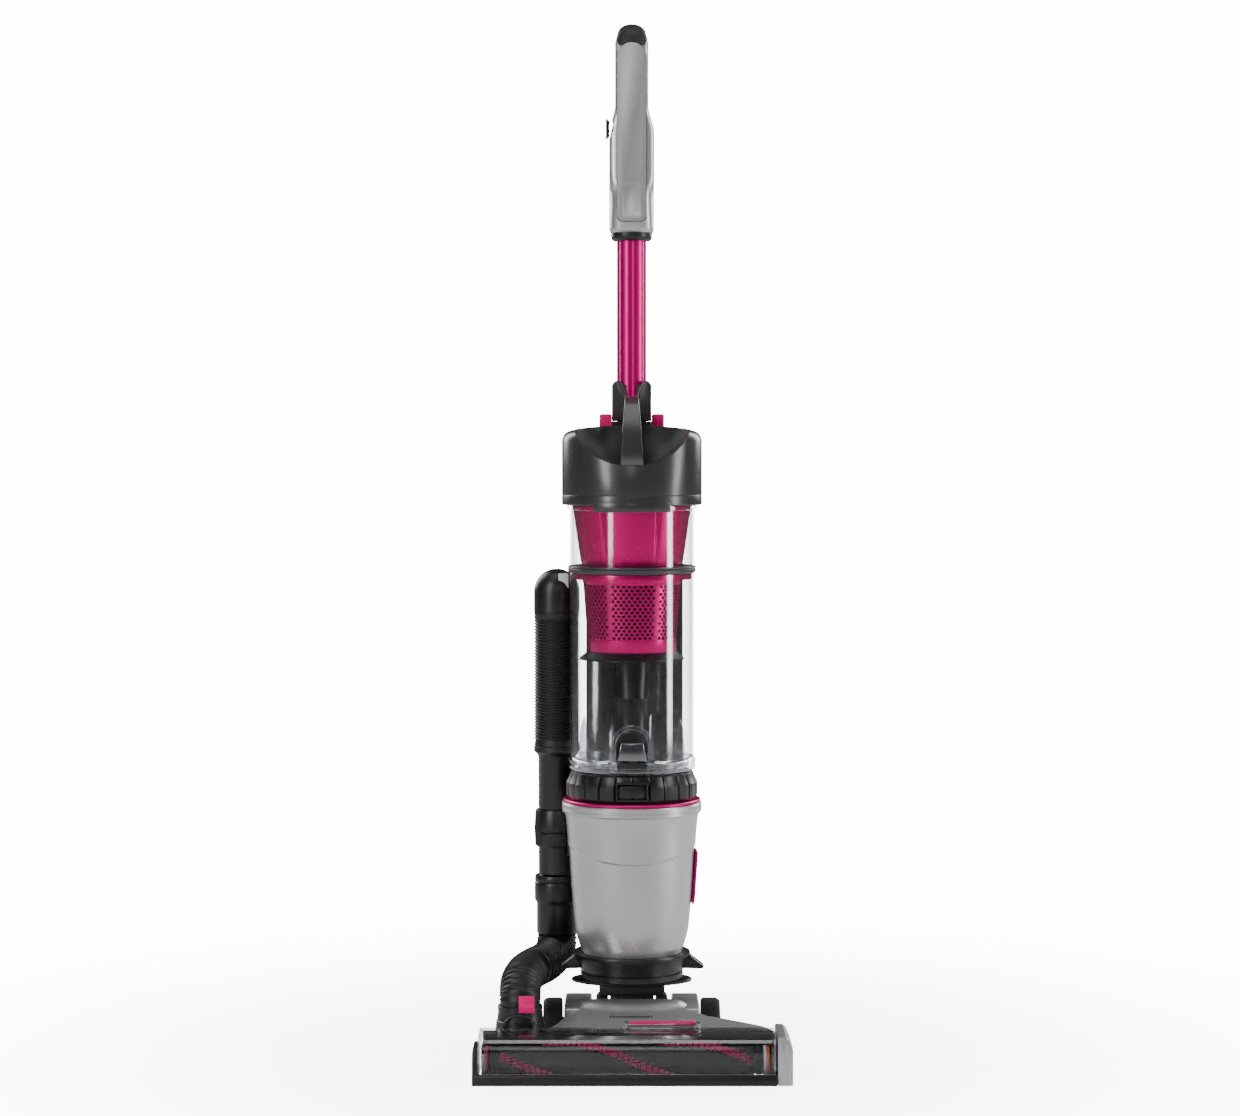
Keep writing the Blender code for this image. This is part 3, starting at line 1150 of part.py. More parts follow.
def build():
    for obj in list(bpy.data.objects):
        bpy.data.objects.remove(obj)
    front_bumper()
    head_window()
    side_caps()
    sole_plate()
    head_chassis()
    head_cover()
    window_release()
    hose_port()
    port_release_clip()
    brush_roll()
    brush_drive()
    drive_belt()
    axle_and_wheels()
    neck_yoke()
    base_collar()
    motor_housing()
    exhaust()
    suction_motor()
    trim_and_motor_ring()
    spine()
    wand_socket()
    hose_fittings()
    lower_hose()
    cable_parts()
    bin_shells()
    cyclone_cone()
    inner_cyclone(shroud())
    bin_base()
    bin_cap()
    carry_handle()
    bin_buttons()
    wand()
    handle()
    power_switch()
    assemble()


build()
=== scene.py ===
import math

import bmesh
import bpy
from mathutils import Matrix, Vector


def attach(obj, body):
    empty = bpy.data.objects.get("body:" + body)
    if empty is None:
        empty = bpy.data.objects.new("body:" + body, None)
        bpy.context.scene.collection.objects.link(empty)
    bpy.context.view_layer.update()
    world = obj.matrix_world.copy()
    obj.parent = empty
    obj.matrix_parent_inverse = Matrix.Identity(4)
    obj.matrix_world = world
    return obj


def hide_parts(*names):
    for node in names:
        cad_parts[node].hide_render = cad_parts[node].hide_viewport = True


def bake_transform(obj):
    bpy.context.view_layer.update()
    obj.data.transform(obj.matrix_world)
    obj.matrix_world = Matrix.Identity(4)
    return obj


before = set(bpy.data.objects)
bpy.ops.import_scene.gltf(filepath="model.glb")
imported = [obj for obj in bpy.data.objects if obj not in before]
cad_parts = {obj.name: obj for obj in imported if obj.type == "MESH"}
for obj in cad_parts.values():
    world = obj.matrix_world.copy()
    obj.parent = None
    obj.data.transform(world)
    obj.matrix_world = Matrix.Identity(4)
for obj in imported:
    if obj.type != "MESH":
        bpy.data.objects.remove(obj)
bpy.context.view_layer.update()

# Lengths are in metres. Outlines are drawn around the upright body's axis, which stands AXIS_Y behind the
# frame's origin, and thing() moves them there.
AXIS_Y = 0.011
BIN_R = 0.0626  # outside of the clear bin
BIN_WALL = 0.0019
BIN_FLOOR_Z = 0.2883
CAP_Z, CAP_TOP, CAP_R = 0.557, 0.639, 0.0707
HOUSING_Z, HOUSING_TALL, HOUSING_R = 0.104, 0.1425, 0.0707
CROWN_R = 0.0668  # the black ring on top of the motor housing
AXLE_Y, AXLE_Z = 0.045, 0.0235
BRUSH_Y, BRUSH_Z = -0.14215, 0.0205
TUFT_TURN = 0.232  # length in which a row of tufts goes once round the brush
HOSE_X, HOSE_Y = -0.077, 0.052
PORT_X, PORT_Y = -0.1105, -0.0905
HOSE_R, LOWER_HOSE_R = 0.0236, 0.0205
RIB_PITCH, RIB_DEPTH = 0.0031, 0.0014
WAND_Y, FOOT_Z = 0.0894, 0.836  # the wand's axis, and the foot of its handle


# ---------------------------------------------------------------- camera, lights and floor
def make_camera():
    """A long lens, slightly above the middle of the cleaner and straight in front of it."""
    data = bpy.data.cameras.new("camera")
    data.sensor_width = 36.0
    data.lens = 87.1
    data.clip_end = 60.0
    camera = bpy.data.objects.new("camera", data)
    camera.location = (-0.012, AXIS_Y - 3.03, 0.627)
    aim = Vector((-0.012, AXIS_Y, 0.503))
    camera.rotation_euler = (aim - camera.location).to_track_quat("-Z", "Y").to_euler()
    bpy.context.scene.collection.objects.link(camera)
    bpy.context.scene.camera = camera


def area_light(name, place, target, size, power):
    """Rectangular light that faces the target."""
    data = bpy.data.lights.new(name, "AREA")
    data.shape = "RECTANGLE"
    data.size, data.size_y = size
    data.energy = power
    lamp = bpy.data.objects.new(name, data)
    lamp.location = place
    lamp.rotation_euler = (Vector(target) - Vector(place)).to_track_quat("-Z", "Y").to_euler()
    bpy.context.scene.collection.objects.link(lamp)


def make_studio():
    """White surroundings that only the camera sees, a dim fill for everything else, and six soft lights."""
    world = bpy.data.worlds.new("studio")
    bpy.context.scene.world = world
    world.use_nodes = True
    tree = world.node_tree
    tree.nodes.clear()
    out = tree.nodes.new("ShaderNodeOutputWorld")
    mix = tree.nodes.new("ShaderNodeMixShader")
    rays = tree.nodes.new("ShaderNodeLightPath")
    seen = tree.nodes.new("ShaderNodeBackground")
    seen.inputs["Color"].default_value = (1.0, 1.0, 1.0, 1.0)
    seen.inputs["Strength"].default_value = 15.0
    lit = tree.nodes.new("ShaderNodeBackground")
    lit.inputs["Color"].default_value = (1.0, 1.0, 1.0, 1.0)
    lit.inputs["Strength"].default_value = 0.07
    tree.links.new(rays.outputs["Is Camera Ray"], mix.inputs[0])
    tree.links.new(lit.outputs[0], mix.inputs[1])
    tree.links.new(seen.outputs[0], mix.inputs[2])
    tree.links.new(mix.outputs[0], out.inputs["Surface"])
    area_light("key_left", (-1.7, -2.0, 1.5), (0, 0, 0.5), (0.5, 2.4), 46)
    area_light("key_right", (2.3, -0.6, 1.2), (0, 0, 0.5), (0.5, 2.4), 42)
    area_light("front_fill", (-0.1, -3.6, 1.9), (0, 0, 0.45), (0.7, 1.6), 8)
    area_light("top", (0.0, -0.2, 2.6), (0, 0, 0.5), (1.6, 1.2), 14)
    area_light("back_left", (-1.5, 1.8, 1.5), (0, 0, 0.5), (0.8, 1.8), 32)
    area_light("back_right", (1.5, 1.9, 1.5), (0, 0, 0.5), (0.8, 1.8), 32)


def make_floor():
    """White floor with a glow that only the camera sees; the glow is lower near the cleaner, a painted
    shade round it.
    """
    bm = bmesh.new()
    bmesh.ops.create_circle(bm, cap_ends=True, segments=96, radius=14.0)
    mesh = bpy.data.meshes.new("floor")
    bm.to_mesh(mesh)
    bm.free()
    floor = bpy.data.objects.new("floor", mesh)
    bpy.context.scene.collection.objects.link(floor)
    floor.location.z = -0.0004
    material = bpy.data.materials.new("floor")
    material.use_nodes = True
    shader = material.node_tree.nodes["Principled BSDF"]
    shader.inputs["Base Color"].default_value = (0.86, 0.86, 0.86, 1)
    shader.inputs["Roughness"].default_value = 0.75
    shader.inputs["Specular IOR Level"].default_value = 0.2
    shader.inputs["Emission Color"].default_value = (1, 1, 1, 1)
    tree = material.node_tree
    rays = tree.nodes.new("ShaderNodeLightPath")
    place = tree.nodes.new("ShaderNodeTexCoord")
    away = tree.nodes.new("ShaderNodeVectorMath")
    away.operation = "LENGTH"
    # Less glow near the cleaner and more far off: painted shade round the cleaner, so that its real shadow
    # shows.
    spread = tree.nodes.new("ShaderNodeMapRange")
    spread.interpolation_type = "SMOOTHSTEP"
    for name, value in (("From Min", 0.15), ("From Max", 1.1), ("To Min", 6.0), ("To Max", 14.5)):
        spread.inputs[name].default_value = value
    glow = tree.nodes.new("ShaderNodeMath")
    glow.operation = "MULTIPLY"
    tree.links.new(place.outputs["Object"], away.inputs[0])
    tree.links.new(away.outputs["Value"], spread.inputs["Value"])
    tree.links.new(spread.outputs[0], glow.inputs[0])
    tree.links.new(rays.outputs["Is Camera Ray"], glow.inputs[1])
    tree.links.new(glow.outputs[0], shader.inputs["Emission Strength"])
    mesh.materials.append(material)


make_camera()
make_studio()
make_floor()


# ---------------------------------------------------------------- materials
CLOUD_SCALE, SMEAR_SCALE, FLAKE_SCALE, HAZE_SCALE = 14.0, 38.0, 2600.0, 60.0
GRAIN_DEPTH, HAZE_DEPTH = 0.0002, 0.0004
WORN_FROM, WORN_TO = 0.53, 0.62  # pointiness at which an edge begins to wear, and is bare


def colour(code):
    """Linear colour from an sRGB hex code."""
    parts = [int(code[i:i + 2], 16) / 255 for i in (1, 3, 5)]
    return tuple(c / 12.92 if c <= 0.04045 else ((c + 0.055) / 1.055) ** 2.4 for c in parts) + (1.0,)


def node(tree, kind, **inputs):
    """A new node with some of its sockets set; To_Min means the socket "To Min"."""
    made = tree.nodes.new(kind)
    for name, value in inputs.items():
        made.inputs[name.replace("_", " ")].default_value = value
    return made


def moulded(name, low, high, rough, metallic=0.0, grain=700.0, bump=0.1, spread=0.1, coat=0.0,
            flake=0.0, specular=0.5, worn=None):
    """Moulded or painted plastic: cloudy colour, uneven gloss, fine texture and lighter worn edges."""
    material = bpy.data.materials.new(name)
    material.use_nodes = True
    tree = material.node_tree
    link = tree.links.new
    shader = tree.nodes["Principled BSDF"]
    shader.inputs["Metallic"].default_value = metallic
    shader.inputs["Coat Weight"].default_value = coat
    shader.inputs["Coat Roughness"].default_value = 0.12
    shader.inputs["Specular IOR Level"].default_value = specular
    place = tree.nodes.new("ShaderNodeTexCoord")
    cloud = node(tree, "ShaderNodeTexNoise", Scale=CLOUD_SCALE, Detail=4.0)
    fine = node(tree, "ShaderNodeTexNoise", Scale=grain, Detail=3.0)
    smear = node(tree, "ShaderNodeTexNoise", Scale=SMEAR_SCALE, Detail=2.5, Distortion=0.1)
    for texture in (cloud, fine, smear):
        link(place.outputs["Object"], texture.inputs["Vector"])
    tint = node(tree, "ShaderNodeMix")
    tint.data_type = "RGBA"
    tint.inputs[6].default_value = colour(low)
    tint.inputs[7].default_value = colour(high)
    link(cloud.outputs["Fac"], tint.inputs[0])
    last = tint.outputs[2]
    if flake:
        specks = node(tree, "ShaderNodeTexVoronoi", Scale=FLAKE_SCALE)
        link(place.outputs["Object"], specks.inputs["Vector"])
        bright = node(tree, "ShaderNodeMapRange", To_Min=1.0 - flake, To_Max=1.0 + flake)
        link(specks.outputs["Color"], bright.inputs["Value"])
        scale = tree.nodes.new("ShaderNodeVectorMath")
        scale.operation = "SCALE"
        link(last, scale.inputs[0])
        link(bright.outputs[0], scale.inputs["Scale"])
        last = scale.outputs[0]
    if worn:
        shape = tree.nodes.new("ShaderNodeNewGeometry")
        edge = node(tree, "ShaderNodeMapRange", From_Min=WORN_FROM, From_Max=WORN_TO)
        link(shape.outputs["Pointiness"], edge.inputs["Value"])
        rub = tree.nodes.new("ShaderNodeMath")
        rub.operation = "MULTIPLY"
        link(edge.outputs[0], rub.inputs[0])
        link(smear.outputs["Fac"], rub.inputs[1])
        wear = node(tree, "ShaderNodeMix")
        wear.data_type = "RGBA"
        link(rub.outputs[0], wear.inputs[0])
        link(last, wear.inputs[6])
        wear.inputs[7].default_value = colour(worn)
        last = wear.outputs[2]
    link(last, shader.inputs["Base Color"])
    gloss = node(tree, "ShaderNodeMapRange", From_Min=0.2, From_Max=0.8,
                 To_Min=max(0.02, rough - spread / 2), To_Max=rough + spread / 2)
    link(smear.outputs["Fac"], gloss.inputs["Value"])
    link(gloss.outputs[0], shader.inputs["Roughness"])
    relief = node(tree, "ShaderNodeBump", Strength=bump, Distance=GRAIN_DEPTH)
    link(fine.outputs["Fac"], relief.inputs["Height"])
    link(relief.outputs[0], shader.inputs["Normal"])
    return material


def see_through(name, tint, least, most, rough=0.04):
    """Clear moulded plastic: open to sight, with reflections that grow towards its edges."""
    material = bpy.data.materials.new(name)
    material.use_nodes = True
    tree = material.node_tree
    link = tree.links.new
    gloss = tree.nodes["Principled BSDF"]
    gloss.inputs["Base Color"].default_value = (0.92, 0.93, 0.94, 1)
    gloss.inputs["Metallic"].default_value = 1.0
    out = tree.nodes["Material Output"]
    clear = tree.nodes.new("ShaderNodeBsdfTransparent")
    clear.inputs["Color"].default_value = tint + (1.0,)
    weight = node(tree, "ShaderNodeLayerWeight", Blend=0.35)
    share = node(tree, "ShaderNodeMapRange", To_Min=least, To_Max=most)
    link(weight.outputs["Facing"], share.inputs["Value"])
    place = tree.nodes.new("ShaderNodeTexCoord")
    haze = node(tree, "ShaderNodeTexNoise", Scale=HAZE_SCALE, Detail=4.0)
    link(place.outputs["Object"], haze.inputs["Vector"])
    uneven = node(tree, "ShaderNodeMapRange", To_Min=rough, To_Max=rough + 0.06)
    link(haze.outputs["Fac"], uneven.inputs["Value"])
    link(uneven.outputs[0], gloss.inputs["Roughness"])
    wave = node(tree, "ShaderNodeBump", Strength=0.04, Distance=HAZE_DEPTH)
    link(haze.outputs["Fac"], wave.inputs["Height"])
    link(wave.outputs[0], gloss.inputs["Normal"])
    mix = tree.nodes.new("ShaderNodeMixShader")
    link(share.outputs[0], mix.inputs[0])
    link(clear.outputs[0], mix.inputs[1])
    link(gloss.outputs[0], mix.inputs[2])
    link(mix.outputs[0], out.inputs["Surface"])
    return material


SILVER = moulded("silver_paint", "#bdbdbf", "#c8c8ca", 0.33, 0.7, 1500, 0.03, 0.06, 0.2, 0.06,
                 worn="#d6d6d8")
GREY = moulded("dark_grey_plastic", "#414143", "#48484a", 0.29, 0.5, 900, 0.02, 0.05, 0.2)
BLACK = moulded("black_plastic", "#0d0d0e", "#151517", 0.36, 0.0, 800, 0.1, 0.1, 0.0, worn="#303032")
SATIN = moulded("black_satin_plastic", "#0b0b0c", "#131315", 0.44, 0.0, 1100, 0.02, 0.1)
SOFT = moulded("soft_grip", "#101012", "#18181a", 0.62, 0.0, 1600, 0.35, 0.12, worn="#262628")
HOSE = moulded("hose_plastic", "#0b0b0c", "#121213", 0.46, 0.0, 900, 0.14, 0.12, worn="#242426")
PINK = moulded("pink_metallic", "#c60070", "#d20078", 0.34, 0.65, 1500, 0.02, 0.05, 0.0, 0.04, 0.3)
CONE = moulded("pink_lacquer", "#ea007c", "#f40086", 0.26, 0.72, 1500, 0.02, 0.05, 0.0, 0.04)
TINT = moulded("pink_plastic", "#d8006c", "#e80076", 0.4, 0.1, 1200, 0.03, 0.08, 0.0, 0.0, 0.25)
SEAL = moulded("seal_rubber", "#34363a", "#3f4145", 0.4, 0.0, 900, 0.12, 0.1)
RUBBER = moulded("tyre_rubber", "#0f0f10", "#19191a", 0.72, 0.0, 700, 0.4, 0.12)
STEEL = moulded("steel", "#8f9194", "#a4a6a9", 0.28, 1.0, 1800, 0.06, 0.12)
FELT = moulded("filter_felt", "#c9c7c1", "#e2e0da", 0.92, 0.0, 320, 0.9, 0.05)
ORANGE = moulded("orange_plastic", "#c8561c", "#e06a28", 0.45, 0.0, 900, 0.1, 0.08)
WHITE = moulded("white_plastic", "#c9c9c6", "#dadad6", 0.4, 0.0, 900, 0.1, 0.08)
BRISTLE = moulded("pink_bristle", "#b80058", "#e00070", 0.55, 0.0, 2200, 0.3, 0.1)
CLEAR = see_through("clear_plastic", (0.94, 0.945, 0.95), 0.022, 0.6)
CLEAR_EDGE = see_through("clear_plastic_thick", (0.8, 0.81, 0.83), 0.1, 0.8)
SMOKE = see_through("smoked_plastic", (0.45, 0.46, 0.48), 0.22, 0.85, 0.1)

FINISH = {
    SILVER: ["motor_housing", "head_cover", "handle_shell", "side_cap_right"],
    GREY: ["bin_cap", "carry_handle", "wand_socket"],
    BLACK: ["base_collar", "neck_yoke", "motor_top_ring", "front_bumper", "side_cap_left", "hose_port",
            "wand_collar", "grip_tube", "tube_clip", "lower_cuff", "hose_elbow", "power_switch",
            "inner_cyclone", "shroud_skirt", "cable_hook_upper", "cable_hook_lower", "cord_gland"],
    SATIN: ["spine", "sole_plate", "head_chassis", "brush_core", "fan_rotor", "motor_pulley"],
    SOFT: ["handle_grip"],
    HOSE: ["stretch_hose", "lower_hose"],
    PINK: ["wand_tube", "trim_ring", "exhaust_cover"],
    CONE: ["cyclone_cone", "shroud"],
    TINT: ["bin_button_left", "bin_button_right", "port_release_clip", "window_release"],
    SEAL: ["seal_ring"],
    RUBBER: ["wheel_left", "wheel_right", "drive_belt"],
    STEEL: ["axle", "suction_motor", "brush_motor"],
    FELT: ["premotor_filter", "exhaust_filter"],
    WHITE: ["brush_bearing_left", "brush_bearing_right", "hose_connector"],
    BRISTLE: ["brush_bristles"],
    CLEAR: ["bin_lower_shell", "bin_upper_shell", "head_window"],
    CLEAR_EDGE: ["bin_base"],
    SMOKE: ["bin_latch"],
}
for finish, names in FINISH.items():
    for name in names:
        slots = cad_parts[name].data.materials
        slots.clear()
        slots.append(finish)


# ---------------------------------------------------------------- mesh building
def settle(obj):
    """Bakes an object's modifiers into its mesh."""
    held = obj.evaluated_get(bpy.context.evaluated_depsgraph_get())
    mesh = bpy.data.meshes.new_from_object(held)
    obj.modifiers.clear()
    obj.data = mesh


def thing(name, bm, material=None):
    """A new object from a bmesh drawn around the body axis."""
    bmesh.ops.remove_doubles(bm, verts=bm.verts, dist=2e-6)
    bmesh.ops.dissolve_degenerate(bm, edges=bm.edges, dist=1e-7)
    bmesh.ops.recalc_face_normals(bm, faces=bm.faces)
    mesh = bpy.data.meshes.new(name)
    bm.to_mesh(mesh)
    bm.free()
    mesh.transform(Matrix.Translation((0, AXIS_Y, 0)))
    obj = bpy.data.objects.new(name, mesh)
    bpy.context.scene.collection.objects.link(obj)
    if material:
        mesh.materials.append(material)
    return obj


def carve(obj, tool):
    """Cuts the tool out of the object and removes it."""
    step = obj.modifiers.new("carve", "BOOLEAN")
    step.operation = "DIFFERENCE"
    step.solver = "EXACT"
    step.object = tool
    settle(obj)
    bpy.data.objects.remove(tool)


def soften(obj, width, segments=2, angle=35):
    """Rounds the edges sharper than angle."""
    step = obj.modifiers.new("edge", "BEVEL")
    step.width = width
    step.segments = segments
    step.limit_method = "ANGLE"
    step.angle_limit = math.radians(angle)
    step.use_clamp_overlap = True
    settle(obj)
    return obj


def finish_piece(obj, body, *nodes, angle=40):
    """Smooth shading, and the piece rides on its body in place of the nodes it stands for."""
    obj.data.polygons.foreach_set("use_smooth", [True] * len(obj.data.polygons))
    obj.data.set_sharp_from_angle(angle=math.radians(angle))
    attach(obj, body)
    if nodes:
        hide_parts(*nodes)


def put(name, bm, material, body, *nodes, edge=None, angle=40):
    """A finished piece from a bmesh; edge is the width and segments of its rounding, if it has one."""
    obj = thing(name, bm, material)
    if edge:
        soften(obj, *edge)
    finish_piece(obj, body, *nodes, angle=angle)


def lathe(profile, segments=128, start=0.0, sweep=360.0, warp=None, centre=(0.0, 0.0)):
    """Turns a closed (radius, z) outline about Z; warp(angle, r, z) may change each radius."""
    bm = bmesh.new()
    closed = sweep >= 360
    count = segments if closed else segments + 1
    rings = []
    for index in range(count):
        angle = math.radians(start + sweep * index / segments)
        ring = []
        for r, z in profile:
            radius = warp(angle, r, z) if warp else r
            ring.append(bm.verts.new((centre[0] + radius * math.cos(angle),
                                      centre[1] + radius * math.sin(angle), z)))
        rings.append(ring)
    for index in range(segments):
        here, there = rings[index], rings[(index + 1) % count]
        for low in range(len(profile)):
            high = (low + 1) % len(profile)
            bm.faces.new((here[low], there[low], there[high], here[high]))
    if not closed:
        bm.faces.new(rings[0])
        bm.faces.new(list(reversed(rings[-1])))
    return bm


def smooth_line(points, steps=5, closed=False):
    """Catmull-Rom curve through the points."""
    count = len(points)
    line = []
    for index in range(count if closed else count - 1):
        four = []
        for offset in (-1, 0, 1, 2):
            at = index + offset
            four.append(points[at % count] if closed else points[min(max(at, 0), count - 1)])
        for step in range(steps):
            t = step / steps
            weights = (-t + 2 * t * t - t ** 3, 2 - 5 * t * t + 3 * t ** 3,
                       t + 4 * t * t - 3 * t ** 3, t ** 3 - t * t)
            line.append(tuple(sum(w * p[k] for w,
                                  p in zip(weights, four)) / 2 for k in range(len(points[0]))))
    if not closed:
        line.append(tuple(points[-1]))
    return line


def plate(outline, low, high, plane="XY"):
    """Straight prism of an outline; its plane's third axis runs from low to high."""
    order = {"XY": (0, 1, 2), "YZ": (1, 2, 0), "XZ": (0, 2, 1)}[plane]
    bm = bmesh.new()
    layers = []
    for height in (low, high):
        ring = []
        for a, b in outline:
            spot = [0.0, 0.0, 0.0]
            spot[order[0]], spot[order[1]], spot[order[2]] = a, b, height
            ring.append(bm.verts.new(spot))
        layers.append(ring)
    bm.faces.new(layers[0])
    bm.faces.new(list(reversed(layers[1])))
    for index in range(len(outline)):
        after = (index + 1) % len(outline)
        bm.faces.new((layers[0][index], layers[0][after], layers[1][after], layers[1][index]))
    return bm


def box(x, y, z):
    """Block between a low and a high value on each axis."""
    return plate([(x[0], y[0]), (x[1], y[0]), (x[1], y[1]), (x[0], y[1])], z[0], z[1])


def sweep(points, radius, sides):
    """Closed round tube along a line of points; radius(index) may vary along it."""
    bm = bmesh.new()
    line = [Vector(p) for p in points]
    ahead = [(line[min(i + 1, len(line) - 1)] - line[max(i - 1, 0)]).normalized() for i in range(len(line))]
    side = ahead[0].orthogonal().normalized()
    rings = []
    for index, (spot, way) in enumerate(zip(line, ahead)):
        side = (side - way * side.dot(way)).normalized()
        over = way.cross(side)
        r = radius(index)
        rings.append([bm.verts.new(spot + (side * math.cos(a) + over * math.sin(a)) * r)
                      for a in (2 * math.pi * k / sides for k in range(sides))])
    for here, there in zip(rings, rings[1:]):
        for k in range(sides):
            bm.faces.new((here[k], here[(k + 1) % sides], there[(k + 1) % sides], there[k]))
    bm.faces.new(list(reversed(rings[0])))
    bm.faces.new(rings[-1])
    return bm


def merge(*sources):
    """One bmesh from several."""
    whole = bmesh.new()
    for source in sources:
        mesh = bpy.data.meshes.new("part")
        source.to_mesh(mesh)
        source.free()
        whole.from_mesh(mesh)
        bpy.data.meshes.remove(mesh)
    return whole


def arc(centre, radius, start, end, steps):
    """Points on a circle, from one angle to another in degrees."""
    return [(centre[0] + radius * math.cos(math.radians(start + (end - start) * k / steps)),
             centre[1] + radius * math.sin(math.radians(start + (end - start) * k / steps)))
            for k in range(steps + 1)]


def smooth_corners(corners, radius, steps=5):
    """Outline with its corners rounded."""
    line = []
    count = len(corners)
    for index in range(count):
        spot = Vector(corners[index])
        before = (Vector(corners[index - 1]) - spot).normalized()
        after = (Vector(corners[(index + 1) % count]) - spot).normalized()
        for k in range(steps + 1):
            t = k / steps
            line.append(tuple(spot + before * radius * (1 - t) ** 2 + after * radius * t ** 2))
    return line


def lathe_x(profile, y, z, segments=64, warp=None):
    """Turns a closed (radius, x) outline about an axle along X."""
    bm = lathe(profile, segments, warp=warp)
    turned = Matrix.Translation((0, y, z)) @ Matrix.Rotation(math.radians(90), 4, "Y")
    bmesh.ops.transform(bm, matrix=turned, verts=bm.verts)
    return bm


def ring_of(bm, centre, across, thick, half, power, sides=48):
    """One rounded section: half wide along X, thick along the direction across in the YZ plane."""
    ring = []
    for k in range(sides):
        a = 2 * math.pi * k / sides
        u = math.copysign(abs(math.cos(a)) ** (2 / power), math.cos(a)) * half
        v = math.copysign(abs(math.sin(a)) ** (2 / power), math.sin(a)) * thick
        ring.append(bm.verts.new((u, centre[0] + across[0] * v, centre[1] + across[1] * v)))
    return ring


def skin(bm, rings):
    """Walls between rounded sections, closed at both ends."""
    for here, there in zip(rings, rings[1:]):
        for k in range(len(here)):
            after = (k + 1) % len(here)
            bm.faces.new((here[k], here[after], there[after], there[k]))
    bm.faces.new(list(reversed(rings[0])))
    bm.faces.new(rings[-1])
    return bm


def blend_table(table, at):
    """Piecewise linear value of a table of (position, value)."""
    if at <= table[0][0]:
        return table[0][1]
    for (a, va), (b, vb) in zip(table, table[1:]):
        if at <= b:
            return va + (vb - va) * (at - a) / (b - a)
    return table[-1][1]


def ease(low, high, at):
    """Smooth step from 0 at low to 1 at high."""
    share = min(max((at - low) / (high - low), 0.0), 1.0)
    return share * share * (3 - 2 * share)


# ---------------------------------------------------------------- dust bin
def scoop_tool():
    """The hollow round the carry handle, as an egg shape to cut out of the cap."""
    bm = bmesh.new()
    bmesh.ops.create_uvsphere(bm, u_segments=96, v_segments=64, radius=1.0)
    place = Matrix.Translation((0, -0.045, CAP_TOP + 0.027))
    size = Matrix.Diagonal((0.0665, 0.076, 0.074, 1))
    bmesh.ops.transform(bm, matrix=place @ size, verts=bm.verts)
    return thing("scoop", bm)


def build_cap():
    """The bin's lid, hollowed round the carry handle, with its apron and two release keys."""
    profile = [(0.0, CAP_Z + 0.02), (0.066, CAP_Z + 0.02), (0.066, CAP_Z), (CAP_R - 0.0008, CAP_Z),
               (CAP_R, CAP_Z + 0.001), (CAP_R, CAP_Z + 0.0095), (CAP_R - 0.0005, CAP_Z + 0.01),
               (CAP_R, CAP_Z + 0.0105), (CAP_R, CAP_TOP - 0.018)]
    profile += arc((CAP_R - 0.011, CAP_TOP - 0.018), 0.011, 8, 80, 8)
    profile += [(0.054, CAP_TOP - 0.0052), (0.03, CAP_TOP - 0.0025), (0.0, CAP_TOP - 0.0015)]
    cap = thing("cap_shell", lathe(profile, 144), GREY)
    carve(cap, scoop_tool())
    soften(cap, 0.0014, 3, 38)
    finish_piece(cap, "dust_bin", "bin_cap", angle=30)
    apron = [(0.0672, CAP_Z + 0.003), (0.0672, CAP_Z - 0.0062), (0.0706, CAP_Z - 0.0062),
             (0.0712, CAP_Z + 0.003)]
    put("cap_apron", lathe(apron, 48, -90 - 33, 66), GREY, "dust_bin", edge=(0.0008, 2))
    for side, name in ((-1, "left"), (1, "right")):
        x = sorted((side * 0.0205, side * 0.0332))
        put("bin_key_" + name, box(x, (0.0408, 0.0552), (CAP_TOP - 0.006, CAP_TOP + 0.0098)), TINT,
            name + "_button", "bin_button_" + name, edge=(0.0022, 3))


def build_carry_handle():
    """Bar that arches over the cap, wider at its foot."""
    top = CAP_TOP
    outer = [(-0.0275, top - 0.043), (-0.019, top - 0.03), (-0.008, top - 0.007), (0.006, top + 0.013),
             (0.018, top + 0.0235), (0.033, top + 0.0285), (0.048, top + 0.0265), (0.059, top + 0.018),
             (0.062, top + 0.006), (0.0615, top - 0.004)]
    inner = [(0.05, top - 0.004), (0.049, top + 0.006), (0.043, top + 0.013), (0.033, top + 0.0165),
             (0.021, top + 0.012), (0.011, top + 0.002), (0.001, top - 0.018), (-0.008, top - 0.037),
             (-0.015, top - 0.0475), (-0.024, top - 0.05)]
    outline = smooth_line(outer, 5) + smooth_line(inner, 5)
    bar = thing("carry_bar", plate(outline, -0.0112, 0.0112, "YZ"), GREY)
    for vertex in bar.data.vertices:
        share = min(max((vertex.co.z - (top - 0.05)) / 0.075, 0.0), 1.0)
        vertex.co.x *= 1.14 - 0.5 * share
    soften(bar, 0.0036, 4, 50)
    finish_piece(bar, "dust_bin", "carry_handle", angle=50)


